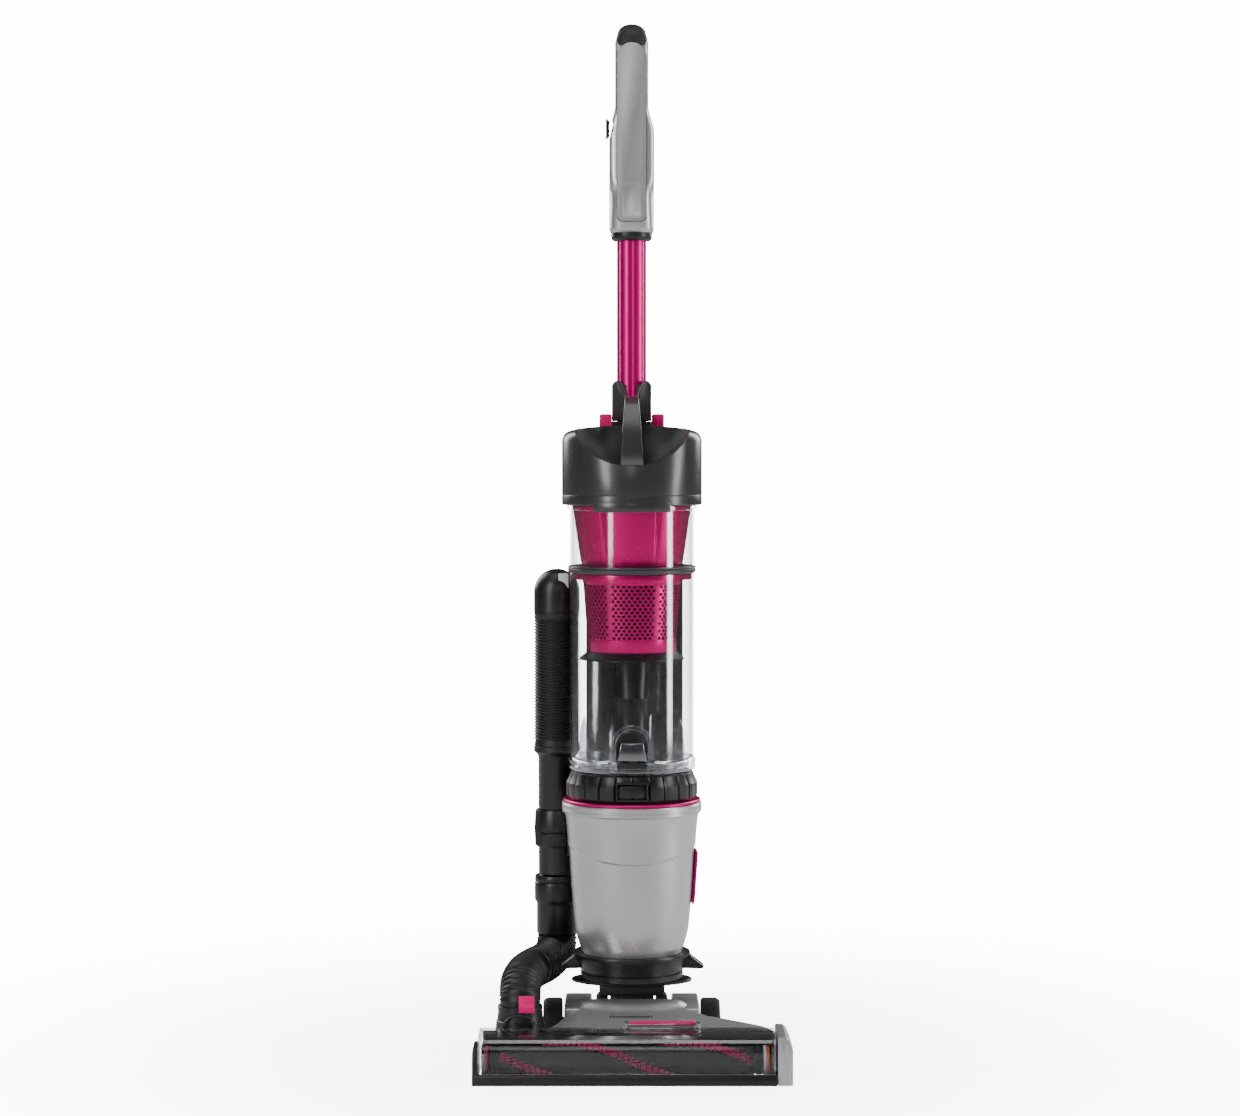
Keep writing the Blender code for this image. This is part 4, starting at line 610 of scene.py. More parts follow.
def build_bin():
    """Two clear tubes and the seal between them, the pink cone and the black one under it."""
    low, high = 0.3026, 0.4881
    inside = BIN_R - BIN_WALL
    shell = [(BIN_R, low), (BIN_R, high), (inside, high), (inside, low)]
    tube = thing("lower_tube", lathe(shell, 128), CLEAR)
    carve(tube,
          thing("latch_room", box((-0.0147, 0.0147), (-BIN_R - 0.002, -BIN_R + 0.006), (0.3, 0.3222))))
    finish_piece(tube, "dust_bin", "bin_lower_shell")
    flange = 0.5517
    shell = [(BIN_R, 0.4957), (BIN_R, flange), (BIN_R + 0.0028, flange + 0.0008), (BIN_R + 0.003, 0.5562),
             (inside, 0.5567), (inside, 0.4957)]
    put("upper_tube", lathe(shell, 128), CLEAR, "dust_bin", "bin_upper_shell")
    lip = [(0.054, 0.4884), (0.0628, 0.4884), (0.0646, 0.4897), (0.0648, 0.4925), (0.064, 0.4934),
           (0.0648, 0.4941), (0.0645, 0.4951), (0.0628, 0.4956), (0.054, 0.4956)]
    put("bin_seal", lathe(lip, 128), SEAL, "dust_bin", "seal_ring")
    ring = [(0.05, 0.4822), (0.0604, 0.4822), (0.0606, 0.4832), (0.0604, 0.4878), (0.05, 0.4878)]
    put("shroud_flange", lathe(ring, 96), CONE, "dust_bin")

    def flutes(angle, r, z):
        """Five upright creases that deepen towards the top of the cone."""
        depth = 0.0
        for centre in (-120, -63, 30, 150, 90):
            apart = abs((math.degrees(angle) - centre + 180) % 360 - 180)
            depth = max(depth, max(0.0, 1 - apart / 3.0))
        share = min(max((z - 0.503) / 0.03, 0.0), 1.0)
        return r - 0.0022 * depth * share if r > 0.03 else r
    body = [(0.046, 0.4957), (0.0505, 0.4957), (0.052, 0.502), (0.0548, 0.52), (0.0575, 0.54),
            (0.0598, 0.556), (0.056, 0.556), (0.05, 0.51), (0.046, 0.5)]
    put("cone_shell", lathe(body, 240, warp=flutes), CONE, "dust_bin", "cyclone_cone")
    foot = [(0.0455, 0.4088), (0.047, 0.407), (0.053, 0.4024), (0.053, 0.4008), (0.0512, 0.4008),
            (0.0455, 0.4052), (0.03, 0.406), (0.03, 0.4088)]
    put("skirt_ring", lathe(foot, 128), BLACK, "dust_bin", "shroud_skirt")
    cone = [(0.0285, 0.469), (0.0285, 0.429), (0.0204, 0.409), (0.02, 0.405), (0.0172, 0.364),
            (0.018, 0.3625), (0.018, 0.36), (0.0168, 0.3585), (0.0168, 0.328), (0.0175, 0.3266),
            (0.015, 0.3266), (0.015, 0.36), (0.0182, 0.409), (0.0265, 0.43), (0.0265, 0.469)]
    put("inner_cone", lathe(cone, 96), BLACK, "dust_bin", "inner_cyclone")


def build_shroud():
    """Drum wall with real sieve holes in six panels, then a plain band under them."""
    columns, rows = 54, 15
    low, high = 0.4225, 0.4775
    foot_r, head_r = 0.0443, 0.0495
    bm = bmesh.new()

    def spot(turns, z, depth=0.0):
        """A vertex on the drum, a share of a turn round from its front."""
        r = foot_r + (head_r - foot_r) * (z - 0.4091) / 0.0748 - depth
        angle = 2 * math.pi * turns - math.pi / 2
        return bm.verts.new((r * math.cos(angle), r * math.sin(angle), z))
    step_z = (high - low) / rows
    for column in range(columns):
        plain = column % 9 == 4
        for row in range(rows):
            shift = 0.5 if row % 2 else 0.0
            left = (column + shift) / columns
            right = left + 1 / columns
            z0, z1 = low + row * step_z, low + (row + 1) * step_z
            middle_t, middle_z = (left + right) / 2, (z0 + z1) / 2
            corners = [spot(right, z0), spot(right, z1), spot(left, z1), spot(left, z0)]
            middles = [spot(right, middle_z), spot(middle_t, z1), spot(left, middle_z), spot(middle_t, z0)]
            ring = [middles[0], corners[1], middles[1], corners[2], middles[2], corners[3], middles[3],
                    corners[0]]
            if plain:
                bm.faces.new(ring)
                continue
            rim, back = [], []
            for k in range(8):
                a = 2 * math.pi * k / 8
                t = middle_t + 0.33 * math.cos(a) / columns
                z = middle_z + 0.43 * step_z * math.sin(a)
                rim.append(spot(t, z))
                back.append(spot(t, z, 0.0012))
            for k in range(8):
                after = (k + 1) % 8
                bm.faces.new((ring[k], ring[after], rim[after], rim[k]))
                bm.faces.new((rim[k], rim[after], back[after], back[k]))
    put("sieve_wall", bm, CONE, "dust_bin", "shroud", angle=55)
    band = [(0.042, 0.4091), (0.0447, 0.4091), (0.0452, 0.41), (0.0456, 0.4222), (0.0449, 0.4228),
            (0.042, 0.4228)]
    put("sieve_foot", lathe(band, 96), CONE, "dust_bin")
    band = [(0.045, 0.4772), (0.049, 0.4772), (0.0498, 0.479), (0.05, 0.4822), (0.045, 0.4822)]
    put("sieve_head", lathe(band, 96), CONE, "dust_bin")
    core = [(0.0375, 0.42), (0.042, 0.478), (0.04, 0.478), (0.0355, 0.42)]
    put("sieve_core", lathe(core, 64), BLACK, "dust_bin")


def build_bin_base():
    """Clear floor with eight fins, and the front latch under its two arches."""
    z = BIN_FLOOR_Z
    rim = [(0.0, z), (0.061, z), (0.064, z + 0.0022), (0.0646, z + 0.004), (0.0646, z + 0.0058),
           (0.0634, z + 0.0066), (0.0634, z + 0.0082), (0.0646, z + 0.009), (0.0646, z + 0.0118),
           (0.0632, z + 0.0128), (0.0627, z + 0.014), (0.0585, z + 0.014), (0.0575, z + 0.005),
           (0.0, z + 0.005)]
    put("bin_floor", lathe(rim, 128), CLEAR_EDGE, "dust_bin", "bin_base")
    parts = []
    for index in range(8):
        angle = 22.5 + index * 45
        shape = [(0.038, z + 0.004), (0.056, z + 0.004), (0.056, z + 0.04), (0.0525, z + 0.052),
                 (0.051, z + 0.048), (0.048, z + 0.024), (0.042, z + 0.012)]
        fin = plate(smooth_line(shape, 3, True), -0.0009, 0.0009, "XZ")
        bmesh.ops.rotate(fin, verts=fin.verts, matrix=Matrix.Rotation(math.radians(angle), 3, "Z"))
        parts.append(fin)
    put("bin_fins", merge(*parts), CLEAR_EDGE, "dust_bin")
    front = -BIN_R - 0.0006
    parts = []
    for radius, width in ((0.0208, 0.0014), (0.0172, 0.001)):
        outer = arc((0.0, 0.3185), radius, 0, 180, 28)
        inner = arc((0.0, 0.3185), radius - width, 180, 0, 28)
        outline = outer + [(-radius, 0.305), (-radius + width, 0.305)] + inner
        outline += [(radius - width, 0.305), (radius, 0.305)]
        parts.append(plate(outline, front - 0.0004, front + 0.003, "XZ"))
    put("latch_arch", merge(*parts), CLEAR_EDGE, "dust_bin", edge=(0.0003, 2))
    shape = [(-0.0142, 0.3035), (0.0142, 0.3035), (0.0115, 0.3215), (-0.0115, 0.3215)]
    put("latch_key", plate(shape, front - 0.0012, front + 0.0016, "XZ"), SMOKE, "latch", "bin_latch",
        edge=(0.0012, 3))
    put("latch_slot", box((-0.015, 0.015), (front - 0.0026, front + 0.005), (0.296, 0.3012)), BLACK,
        "dust_bin", edge=(0.0006, 2))


build_cap()
build_carry_handle()
build_bin()
build_shroud()
build_bin_base()


# ---------------------------------------------------------------- motor housing, collar and neck
def build_housing():
    """Silver motor housing, the pink band above it and the exhaust lid on its right."""
    shape = [(0.735, 0.0), (0.785, 0.077), (0.827, 0.162), (0.857, 0.302), (0.889, 0.52),
             (0.919, 0.8), (0.941, 0.929), (0.962, 0.995)]  # share of the radius, share of the height
    line = smooth_line([(HOUSING_R * share, HOUSING_Z + HOUSING_TALL * up) for share, up in shape], 4)
    outer = line + [(0.07, 0.2465), (0.0707, 0.2475), (0.0707, 0.25), (0.0703, 0.2504), (0.0707, 0.2508),
                    (0.0707, 0.2552), (0.0699, 0.2565)]
    inner = [(0.065, 0.2565), (0.064, 0.244), (0.059, 0.17), (0.05, 0.108), (0.04, 0.107), (0.04, 0.104)]

    def step(angle, r, z):
        """A step that dips at the front: a groove, and the lower half 1.1 mm inside the upper."""
        if r < 0.045 or z > 0.246:
            return r
        front = max(0.0, -math.sin(angle))
        seam = 0.212 - 0.013 * front ** 2
        groove = 0.0009 * math.exp(-((z - seam) / 0.0007) ** 2)
        return r - groove - 0.0011 * min(max((seam - z) / 0.0012, 0.0), 1.0)
    rows = [(r, z) for r, z in outer if z < 0.19]
    low_r, low_z = rows[-1]
    high_r, high_z, count = 0.06505, 0.218, 55
    for k in range(1, count + 1):
        z = low_z + (high_z - low_z) * k / count
        rows.append((low_r + (high_r - low_r) * (z - low_z) / (high_z - low_z), z))
    rows += [(r, z) for r, z in outer if z > 0.2185]
    put("housing_shell", lathe(rows + inner, 160, warp=step), SILVER, "main_body", "motor_housing",
        angle=28)
    ring = [(0.06, 0.2568), (0.069, 0.2568), (0.0696, 0.2575), (0.0696, 0.2592), (0.0688, 0.26),
            (0.06, 0.26)]
    put("trim_band", lathe(ring, 128), PINK, "main_body", "trim_ring")
    lid = []
    for z, out in ((0.151, 0.0), (0.153, 0.0022), (0.156, 0.0028), (0.203, 0.0028), (0.206, 0.0022),
                   (0.208, 0.0)):
        base = HOUSING_R * blend_table([(up, share) for share, up in shape],
                                       (z - HOUSING_Z) / HOUSING_TALL) + 0.0003
        lid.append((base, base + out, z))
    profile = [(r, z) for _, r, z in lid] + [(base, z) for base, _, z in reversed(lid)]
    put("exhaust_lid", lathe(profile, 40, -8, 54), PINK, "exhaust_door", "exhaust_cover", edge=(0.0006, 2))


def build_motor_ring():
    """Black crown under the bin, with the catch that the bin's latch holds."""
    def facets(angle, r, z):
        """Twenty-four slightly rounded faces with a notch between neighbours."""
        if r < 0.058:
            return r
        turn = math.degrees(angle) % 15.0
        notch = 1.0 if turn < 1.1 or turn > 13.9 else 0.0
        flat = 0.0009 * math.cos(math.radians((turn - 7.5) * 12))
        return r - 0.0016 * notch * (1 if 0.264 < z < 0.2865 else 0) + flat * 0.6 - 0.0006
    profile = [(0.056, 0.2603), (0.064, 0.2603), (0.0662, 0.2632), (CROWN_R, 0.2645), (CROWN_R, 0.277),
               (0.0655, 0.279), (0.0636, 0.283), (0.0624, 0.2868), (0.0612, 0.288), (0.056, 0.288)]
    put("motor_crown", lathe(profile, 288, warp=facets), BLACK, "main_body", "motor_top_ring", angle=25)
    front = (-CROWN_R - 0.0014, -CROWN_R + 0.004)
    frame_parts = [box((-0.0158, 0.0158), front, (0.264, 0.2655)),
                   box((-0.0158, 0.0158), front, (0.281, 0.2825)),
                   box((-0.0158, -0.0143), front, (0.2655, 0.281)),
                   box((0.0143, 0.0158), front, (0.2655, 0.281)),
                   box((-0.012, 0.012), (-CROWN_R - 0.0006, front[1]), (0.2675, 0.279))]
    put("latch_window", merge(*frame_parts), BLACK, "main_body", edge=(0.0004, 2))


def build_collar():
    """The collar under the housing, and the neck that carries it on the axle."""
    profile = [(0.031, 0.0776), (0.0505, 0.0776), (0.052, 0.0786), (0.052, 0.0838), (0.0512, 0.0846),
               (0.052, 0.0854), (0.0524, 0.088), (0.056, 0.094), (0.059, 0.1), (0.0595, 0.1022),
               (0.059, 0.1037), (0.031, 0.1037)]
    ring = thing("collar_ring", lathe(profile, 128), BLACK)
    fins = []
    for side in (-1, 1):
        shape = [(side * 0.047, 0.0885), (side * 0.07, 0.0878), (side * 0.0735, 0.0892),
                 (side * 0.072, 0.0912),
                 (side * 0.061, 0.0995), (side * 0.058, 0.103), (side * 0.047, 0.103)]
        fins.append(plate(shape, -0.016, 0.002, "XZ"))
    put("collar_fins", merge(*fins), BLACK, "main_body", "base_collar", edge=(0.0012, 2))
    finish_piece(ring, "main_body")
    flange = [(0.0, 0.0724), (0.03, 0.0723), (0.0321, 0.0732), (0.0325, 0.0742), (0.0325, 0.0756),
              (0.0318, 0.0766), (0.03, 0.0768), (0.0, 0.0768)]
    disc = lathe(flange, 96)
    bmesh.ops.scale(disc, vec=(0.0612 / 0.0325, 1, 1), verts=disc.verts)
    body = [(-0.024, 0.065), (-0.024, 0.049), (0.036, 0.015), (0.056, 0.02), (0.056, 0.036), (0.03, 0.065)]
    column = plate(body, -0.022, 0.022, "YZ")
    head = box((-0.033, 0.033), (-0.026, 0.026), (0.062, 0.0738))
    lugs = []
    for side in (-1, 1):
        hook = [(side * 0.025, 0.048), (side * 0.03, 0.0505), (side * 0.036, 0.056), (side * 0.0362, 0.06),
                (side * 0.0335, 0.064), (side * 0.024, 0.064), (side * 0.024, 0.056)]
        lugs.append(plate(hook, -0.022, -0.008, "XZ"))
    put("neck_stem", merge(column, head, *lugs), BLACK, "neck", "neck_yoke", edge=(0.0015, 2))
    put("neck_flange", disc, BLACK, "neck")
    barrel = [(0.0045, -0.04), (0.0122, -0.04), (0.013, -0.0385), (0.013, 0.0385), (0.0122, 0.04),
              (0.0045, 0.04)]
    put("neck_barrel", lathe_x(barrel, AXLE_Y, AXLE_Z), BLACK, "neck")
    ribs = []
    for k in range(5):
        x = -0.016 + 0.008 * k
        ribs.append(plate([(-0.0255, 0.064), (-0.0255, 0.05), (-0.0235, 0.05), (-0.0235, 0.064)],
                          x - 0.0012, x + 0.0012, "YZ"))
    put("neck_ribs", merge(*ribs), BLACK, "neck")


def build_wheels():
    """Two rear wheels: a cut tyre and a hub each."""
    for side, name in ((-1, "left"), (1, "right")):
        tyre = [(0.0185, 0.0712), (0.0222, 0.0712), (0.0235, 0.073), (0.0235, 0.086), (0.0226, 0.0888),
                (0.0205, 0.0908), (0.0185, 0.091)]

        def tread(angle, r, x):
            """Thirty-six shallow cuts round the tyre."""
            return r - 0.0005 if r > 0.023 and (math.degrees(angle) / 10) % 1.0 < 0.25 else r
        wheel = lathe_x([(r, side * d) for r, d in tyre], AXLE_Y, AXLE_Z, 144, tread)
        put("tyre_" + name, wheel, RUBBER, name + "_wheel", "wheel_" + name)
        hub = [(0.0043, 0.0716), (0.0186, 0.0716), (0.0186, 0.09), (0.017, 0.0906), (0.015, 0.089),
               (0.008, 0.088), (0.007, 0.0902), (0.0043, 0.0902)]
        disc = lathe_x([(r, side * d) for r, d in hub], AXLE_Y, AXLE_Z, 64)
        put("hub_" + name, disc, BLACK, name + "_wheel")


# ---------------------------------------------------------------- hoses
def ribbed(path, radius, sides, plain):
    """Corrugated tube: smooth cuffs at the ends, rounded ribs between them."""
    line = [Vector(p) for p in path]
    lengths = [0.0]
    for a, b in zip(line, line[1:]):
        lengths.append(lengths[-1] + (b - a).length)
    total = lengths[-1]
    count = int((total - 2 * plain) / RIB_PITCH)
    marks = [0.0, plain * 0.5]
    start = (total - count * RIB_PITCH) / 2
    for k in range(count):
        marks += [start + RIB_PITCH * (k + part) for part in (0.0, 0.22, 0.5, 0.72)]
    marks += [start + RIB_PITCH * count, total]
    spots = []
    at = 0
    for mark in marks:
        while at < len(lengths) - 2 and lengths[at + 1] < mark:
            at += 1
        share = (mark - lengths[at]) / max(lengths[at + 1] - lengths[at], 1e-9)
        spots.append(line[at].lerp(line[at + 1], min(share, 1.0)))

    def size(index):
        if index < 2 or index >= len(marks) - 2:
            return radius - RIB_DEPTH * 0.4
        part = (index - 2) % 4
        return radius - RIB_DEPTH * (1.0, 0.15, 0.0, 0.85)[part]
    return sweep(spots, size, sides)


def build_hoses():
    """The standing hose and its fittings, from the cuff at its foot to the inlet elbow."""
    foot, head = 0.3077, 0.4452
    tube = ribbed([(HOSE_X, HOSE_Y, foot + (head - foot) * k / 40) for k in range(41)], HOSE_R, 56, 0.006)
    put("stretch_ribs", tube, HOSE, "main_body", "stretch_hose", angle=60)
    centre = (HOSE_X, HOSE_Y)

    def upright(name, profile, *nodes):
        """A black fitting turned about the standing hose."""
        put(name, lathe(profile, 72, centre=centre), BLACK, "main_body", *nodes)
    upright("grip_shell", [(0.0, 0.176), (0.019, 0.176), (0.0192, 0.296), (0.0202, 0.2985), (0.0226, 0.301),
                           (0.0238, 0.302), (0.0238, 0.307), (0.023, 0.3076), (0.0, 0.3076)], "grip_tube")
    upright("clip_ring",
            [(0.0195, 0.204), (0.0212, 0.204), (0.0222, 0.2052), (0.0222, 0.218), (0.0214, 0.2188),
                          (0.0222, 0.2196), (0.0225, 0.223), (0.0225, 0.24), (0.0215, 0.242),
             (0.0195, 0.242)])
    arm = [(-0.099, 0.206), (-0.1, 0.224), (-0.099, 0.24), (-0.056, 0.24), (-0.053, 0.233),
           (-0.053, 0.213), (-0.056, 0.206)]
    lug = thing("clip_latch", plate(arm, HOSE_Y - 0.015, HOSE_Y - 0.0085, "XZ"), BLACK)
    carve(lug,
          thing("hole",
                lathe([(0.0, 0.19), (0.0192, 0.19), (0.0192, 0.25), (0.0, 0.25)], 48, centre=centre)))
    soften(lug, 0.0008, 2)
    finish_piece(lug, "main_body", "tube_clip")
    key = [(-0.066, 0.196), (-0.056, 0.196), (-0.0545, 0.2), (-0.0545, 0.236), (-0.056, 0.24),
           (-0.066, 0.24)]
    put("clip_key", plate(key, HOSE_Y - 0.0225, HOSE_Y - 0.013, "XZ"), BLACK, "main_body", edge=(0.0012, 3))

    upright("cuff_shell",
            [(0.0165, 0.114), (0.0204, 0.114), (0.021, 0.115), (0.021, 0.144), (0.0214, 0.146),
                           (0.0228, 0.148), (0.0232, 0.15), (0.0232, 0.165), (0.0228, 0.1668),
             (0.0222, 0.1674),
                           (0.0228, 0.1682), (0.023, 0.171), (0.0222, 0.174), (0.0195, 0.174),
             (0.0165, 0.17)],
            "lower_cuff")
    bend = [(HOSE_R, 0.4458), (HOSE_R, 0.456), (HOSE_R, 0.4665)]
    bend += arc((0.0, 0.4665), HOSE_R, 8, 90, 14)
    put("elbow_dome", lathe([(0.0, 0.4458)] + bend[:-1] + [(0.0, 0.4901)], 72, centre=centre), BLACK,
        "main_body", "hose_elbow")
    cup = [(0.015, -0.0742), (0.018, -0.0742), (0.0186, -0.0735), (0.0186, -0.07), (0.0178, -0.069),
           (0.0178, -0.064), (0.015, -0.064)]
    put("inlet_cup", lathe_x(cup, HOSE_Y, 0.4674, 64), WHITE, "main_body", "hose_connector")
    plan = [(-0.075, 0.45), (-0.066, 0.45), (-0.0645, 0.452), (-0.0645, 0.484), (-0.066, 0.486),
            (-0.075, 0.486)]
    put("inlet_frame", plate(plan, HOSE_Y - 0.02, HOSE_Y - 0.0165, "XZ"), WHITE, "main_body",
        edge=(0.001, 2))


LOWER_PATH = [(-0.077, 0.052, 0.1128), (-0.0771, 0.0516, 0.1055), (-0.0795, 0.043, 0.095),
              (-0.088, 0.024, 0.0885), (-0.101, -0.008, 0.0868), (-0.107, -0.048, 0.088),
              (-0.11, -0.0785, 0.085), (-0.1105, -0.0905, 0.075), (-0.1105, -0.0905, 0.0666)]


def build_lower_hose():
    """The hose crosses both joints; it is built as two ribbed halves, rear and front, split at the middle
    of its path.
    """
    steps = 8
    line = smooth_line(LOWER_PATH, steps)
    middle = 4 * steps
    rear = ribbed(line[:middle + 1], LOWER_HOSE_R, 48, 0.002)
    front = ribbed(line[middle:], LOWER_HOSE_R, 48, 0.002)
    for name, bm, pair, start, end in (
            ("lower_hose_rear", rear, ("main_body", "neck"), line[2], line[middle - 4]),
            ("lower_hose_front", front, ("neck", "floor_head"), line[middle + 2], line[-4])):
        piece = thing(name, bm, HOSE)
        piece.data.polygons.foreach_set("use_smooth", [True] * len(piece.data.polygons))
        piece.data.set_sharp_from_angle(angle=math.radians(60))
        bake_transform(piece)
        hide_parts("lower_hose")


# ---------------------------------------------------------------- wand and handle
def build_wand():
    """Pink fluted tube, its collar and the socket that it stands in."""
    def flute(angle, r, z):
        """Six rounded grooves along the tube."""
        if r < 0.0145:
            return r
        return r - 0.0009 * (0.5 + 0.5 * math.cos(6 * (angle + math.pi / 2))) ** 6
    tube = [(0.0138, 0.6035), (0.0154, 0.6035), (0.0154, 0.876), (0.0138, 0.876)]
    put("wand_shell", lathe(tube, 144, warp=flute, centre=(0, WAND_Y)), PINK, "wand", "wand_tube", angle=60)
    ring = [(0.0156, 0.828), (0.019, 0.828), (0.0205, 0.8292), (0.0214, 0.833), (0.0214, 0.8357),
            (0.0156, 0.8357)]
    put("wand_band", lathe(ring, 96, centre=(0, WAND_Y)), BLACK, "wand", "wand_collar")
    out = 0.0205
    shape = [(-out, 0.6415), (out, 0.6415), (out, 0.677)] + arc((out - 0.0065, 0.677), 0.0065, 0, 90, 5)[1:]
    shape += [(0.0125, 0.6835), (0.0095, 0.679), (0.004, 0.666), (0.0, 0.662), (-0.004, 0.666),
              (-0.0095, 0.679), (-0.0125, 0.6835)]
    shape += arc((-out + 0.0065, 0.677), 0.0065, 90, 180, 5)
    put("socket_face", plate(shape, 0.0715, 0.0775, "XZ"), GREY, "main_body", edge=(0.0014, 3))
    shape = [(-out, 0.6415), (out, 0.6415), (out, 0.6835), (-out, 0.6835)]
    sleeve = thing("socket_sleeve",
                   plate(smooth_corners([(-out, 0.0745), (out, 0.0745), (out, 0.1076), (-out, 0.1076)],
                                                         0.0075), 0.6415, 0.679), GREY)
    carve(sleeve,
          thing("bore",
                lathe([(0.0, 0.63), (0.0158, 0.63), (0.0158, 0.7), (0.0, 0.7)], 64, centre=(0, WAND_Y))))
    soften(sleeve, 0.0012, 2)
    finish_piece(sleeve, "main_body", "wand_socket")


build_housing()
build_motor_ring()
build_collar()
build_wheels()
build_hoses()
build_lower_hose()
build_wand()


# ---------------------------------------------------------------- handle
def handle_width(z):
    """Half the handle's width, which narrows above the switch."""
    share = min(1.0, max(0.0, (0.13 - (z - FOOT_Z)) / 0.03))
    return 0.01725 + 0.006 * share * share * (3 - 2 * share)


FRAME_TALL = 0.1945
# Heights above the handle's foot and how far the frame's front and back stand from the wand's axis there.
SHELL_FRONT = [(0.0, -0.0215), (0.0015, -0.0232), (0.02, -0.0275), (0.045, -0.0318), (0.185, -0.0318),
               (FRAME_TALL, -0.028)]
SHELL_BACK = [(0.0, 0.0215), (0.0015, 0.0232), (0.018, 0.029), (0.03, 0.036), (0.036, 0.0345),
              (0.042, 0.024),
              (0.046, 0.002), (0.05, -0.009), (0.06, -0.015), (FRAME_TALL, -0.015)]
# The middle of the soft grip, over the top and down the back: (behind the wand's axis, above the foot).
GRIP_LINE = [(-0.0212, 0.189), (-0.0195, 0.1962), (-0.012, 0.2016), (0.0, 0.2034), (0.018, 0.199),
             (0.034, 0.1866),
             (0.0445, 0.165), (0.049, 0.14), (0.0492, 0.115), (0.0465, 0.085), (0.04, 0.058),
             (0.032, 0.039)]


def at_switch(bm, shift, squeeze):
    """Turns a disc on Z to face sideways, at the place of the power switch."""
    place = Matrix.Translation((shift - 0.02325, WAND_Y - 0.0235, FOOT_Z + 0.105))
    turned = place @ Matrix.Diagonal((1, squeeze, 1, 1)) @ Matrix.Rotation(math.radians(90), 4, "Y")
    bmesh.ops.transform(bm, matrix=turned, verts=bm.verts)
    return bm


def inlay_outline(grow):
    """Round-topped strip with small lower corners, seen from the front and grown on every side."""
    half, foot, head, corner = 0.0148 + grow, 0.8465 - grow, 1.0285 + grow, 0.006
    return (arc((-half + corner, foot + corner), corner, 180, 270, 8)
            + arc((half - corner, foot + corner), corner, 270, 360, 8)
            + arc((0.0, head - half), half, 0, 180, 24))


def build_handle():
    """Silver frame and soft grip, lofted from rounded sections, with the front inlay and the switch."""
    bm = bmesh.new()
    rings = []
    for k in range(98):
        z = FRAME_TALL * k / 97
        front, back = blend_table(SHELL_FRONT, z), blend_table(SHELL_BACK, z)
        half = handle_width(FOOT_Z + z) - 0.0016 * ease(0.004, 0.0, z)
        middle = (WAND_Y + (front + back) / 2, FOOT_Z + z)
        rings.append(ring_of(bm, middle, (1, 0), (back - front) / 2, half, 3.4))
    shell = thing("handle_frame", skin(bm, rings), SILVER)
    pocket = lathe([(0.0, -0.003), (0.0115, -0.003), (0.0115, 0.006), (0.0, 0.006)], 48)
    carve(shell, thing("pocket", at_switch(pocket, 0.0, 0.6)))
    finish_piece(shell, "wand", "handle_shell", angle=55)
    line = smooth_line(GRIP_LINE, 8)
    bm = bmesh.new()
    rings = []
    for k, (y, z) in enumerate(line):
        a, b = line[max(k - 1, 0)], line[min(k + 1, len(line) - 1)]
        way = Vector((b[0] - a[0], b[1] - a[1])).normalized()
        share = k / (len(line) - 1)
        half = handle_width(FOOT_Z + z) - 0.0022 * ease(0.19, 0.206, z)
        thick = 0.0118 - 0.0028 * ease(0.15, 0.45, share) + 0.0004 * math.sin(share * 40) * ease(0.35, 0.5,
                                                                                                 share)
        rings.append(ring_of(bm, (WAND_Y + y, FOOT_Z + z), (-way[1], way[0]), thick, half * 0.985, 2.1))
    put("handle_soft_grip", skin(bm, rings), SOFT, "wand", "handle_grip", angle=60)
    seam = thing("handle_seam", plate(inlay_outline(0.0006), WAND_Y - 0.0321, WAND_Y - 0.029, "XZ"), SEAL)
    carve(seam, thing("middle", plate(inlay_outline(-0.002), WAND_Y - 0.04, WAND_Y - 0.02, "XZ")))
    finish_piece(seam, "wand", angle=50)
    inlay = thing("handle_inlay", plate(inlay_outline(0.0), WAND_Y - 0.0331, WAND_Y - 0.029, "XZ"), SILVER)
    ramp = [(WAND_Y - 0.0345, 0.886), (WAND_Y - 0.0329, 0.8855), (WAND_Y - 0.0322, 0.878),
            (WAND_Y - 0.0321, 0.857), (WAND_Y - 0.0331, 0.853), (WAND_Y - 0.0345, 0.852)]
    carve(inlay, thing("ramp", plate(ramp, -0.008, 0.008, "YZ")))
    soften(inlay, 0.0009, 3, 30)
    finish_piece(inlay, "wand", angle=50)
    key = []
    for radius, low, high in ((0.0105, -0.003, -0.0006), (0.009, -0.0008, 0.0008)):
        disc = lathe([(0.0, low), (radius, low), (radius, high), (0.0, high)], 48)
        key.append(at_switch(disc, -0.0004, 0.55))
    put("switch_button", merge(*key), BLACK, "switch", "power_switch", edge=(0.0005, 2))


# ---------------------------------------------------------------- floor head
# Across the head cover: y, and the x of its left and right edges or the height of its ridge there.
LEFT_EDGE = [(-0.1185, -0.088), (-0.11, -0.0878), (-0.1, -0.085), (-0.085, -0.0795), (-0.06, -0.0725),
             (-0.044, -0.069), (-0.026, -0.067)]
RIGHT_EDGE = [(-0.1185, 0.1392), (-0.102, 0.139), (-0.096, 0.13), (-0.086, 0.113), (-0.072, 0.089),
              (-0.044, 0.07), (-0.026, 0.067)]
RIDGE = [(-0.1185, 0.048), (-0.1, 0.05), (-0.085, 0.052), (-0.055, 0.054), (-0.026, 0.0548)]


def cover_height(x, y):
    """The ridge's height, with a low hill round the neck."""
    return blend_table(RIDGE, y) + 0.0062 * ease(0.072, 0.055, math.hypot(x, y)) * ease(-0.018, -0.034, y)


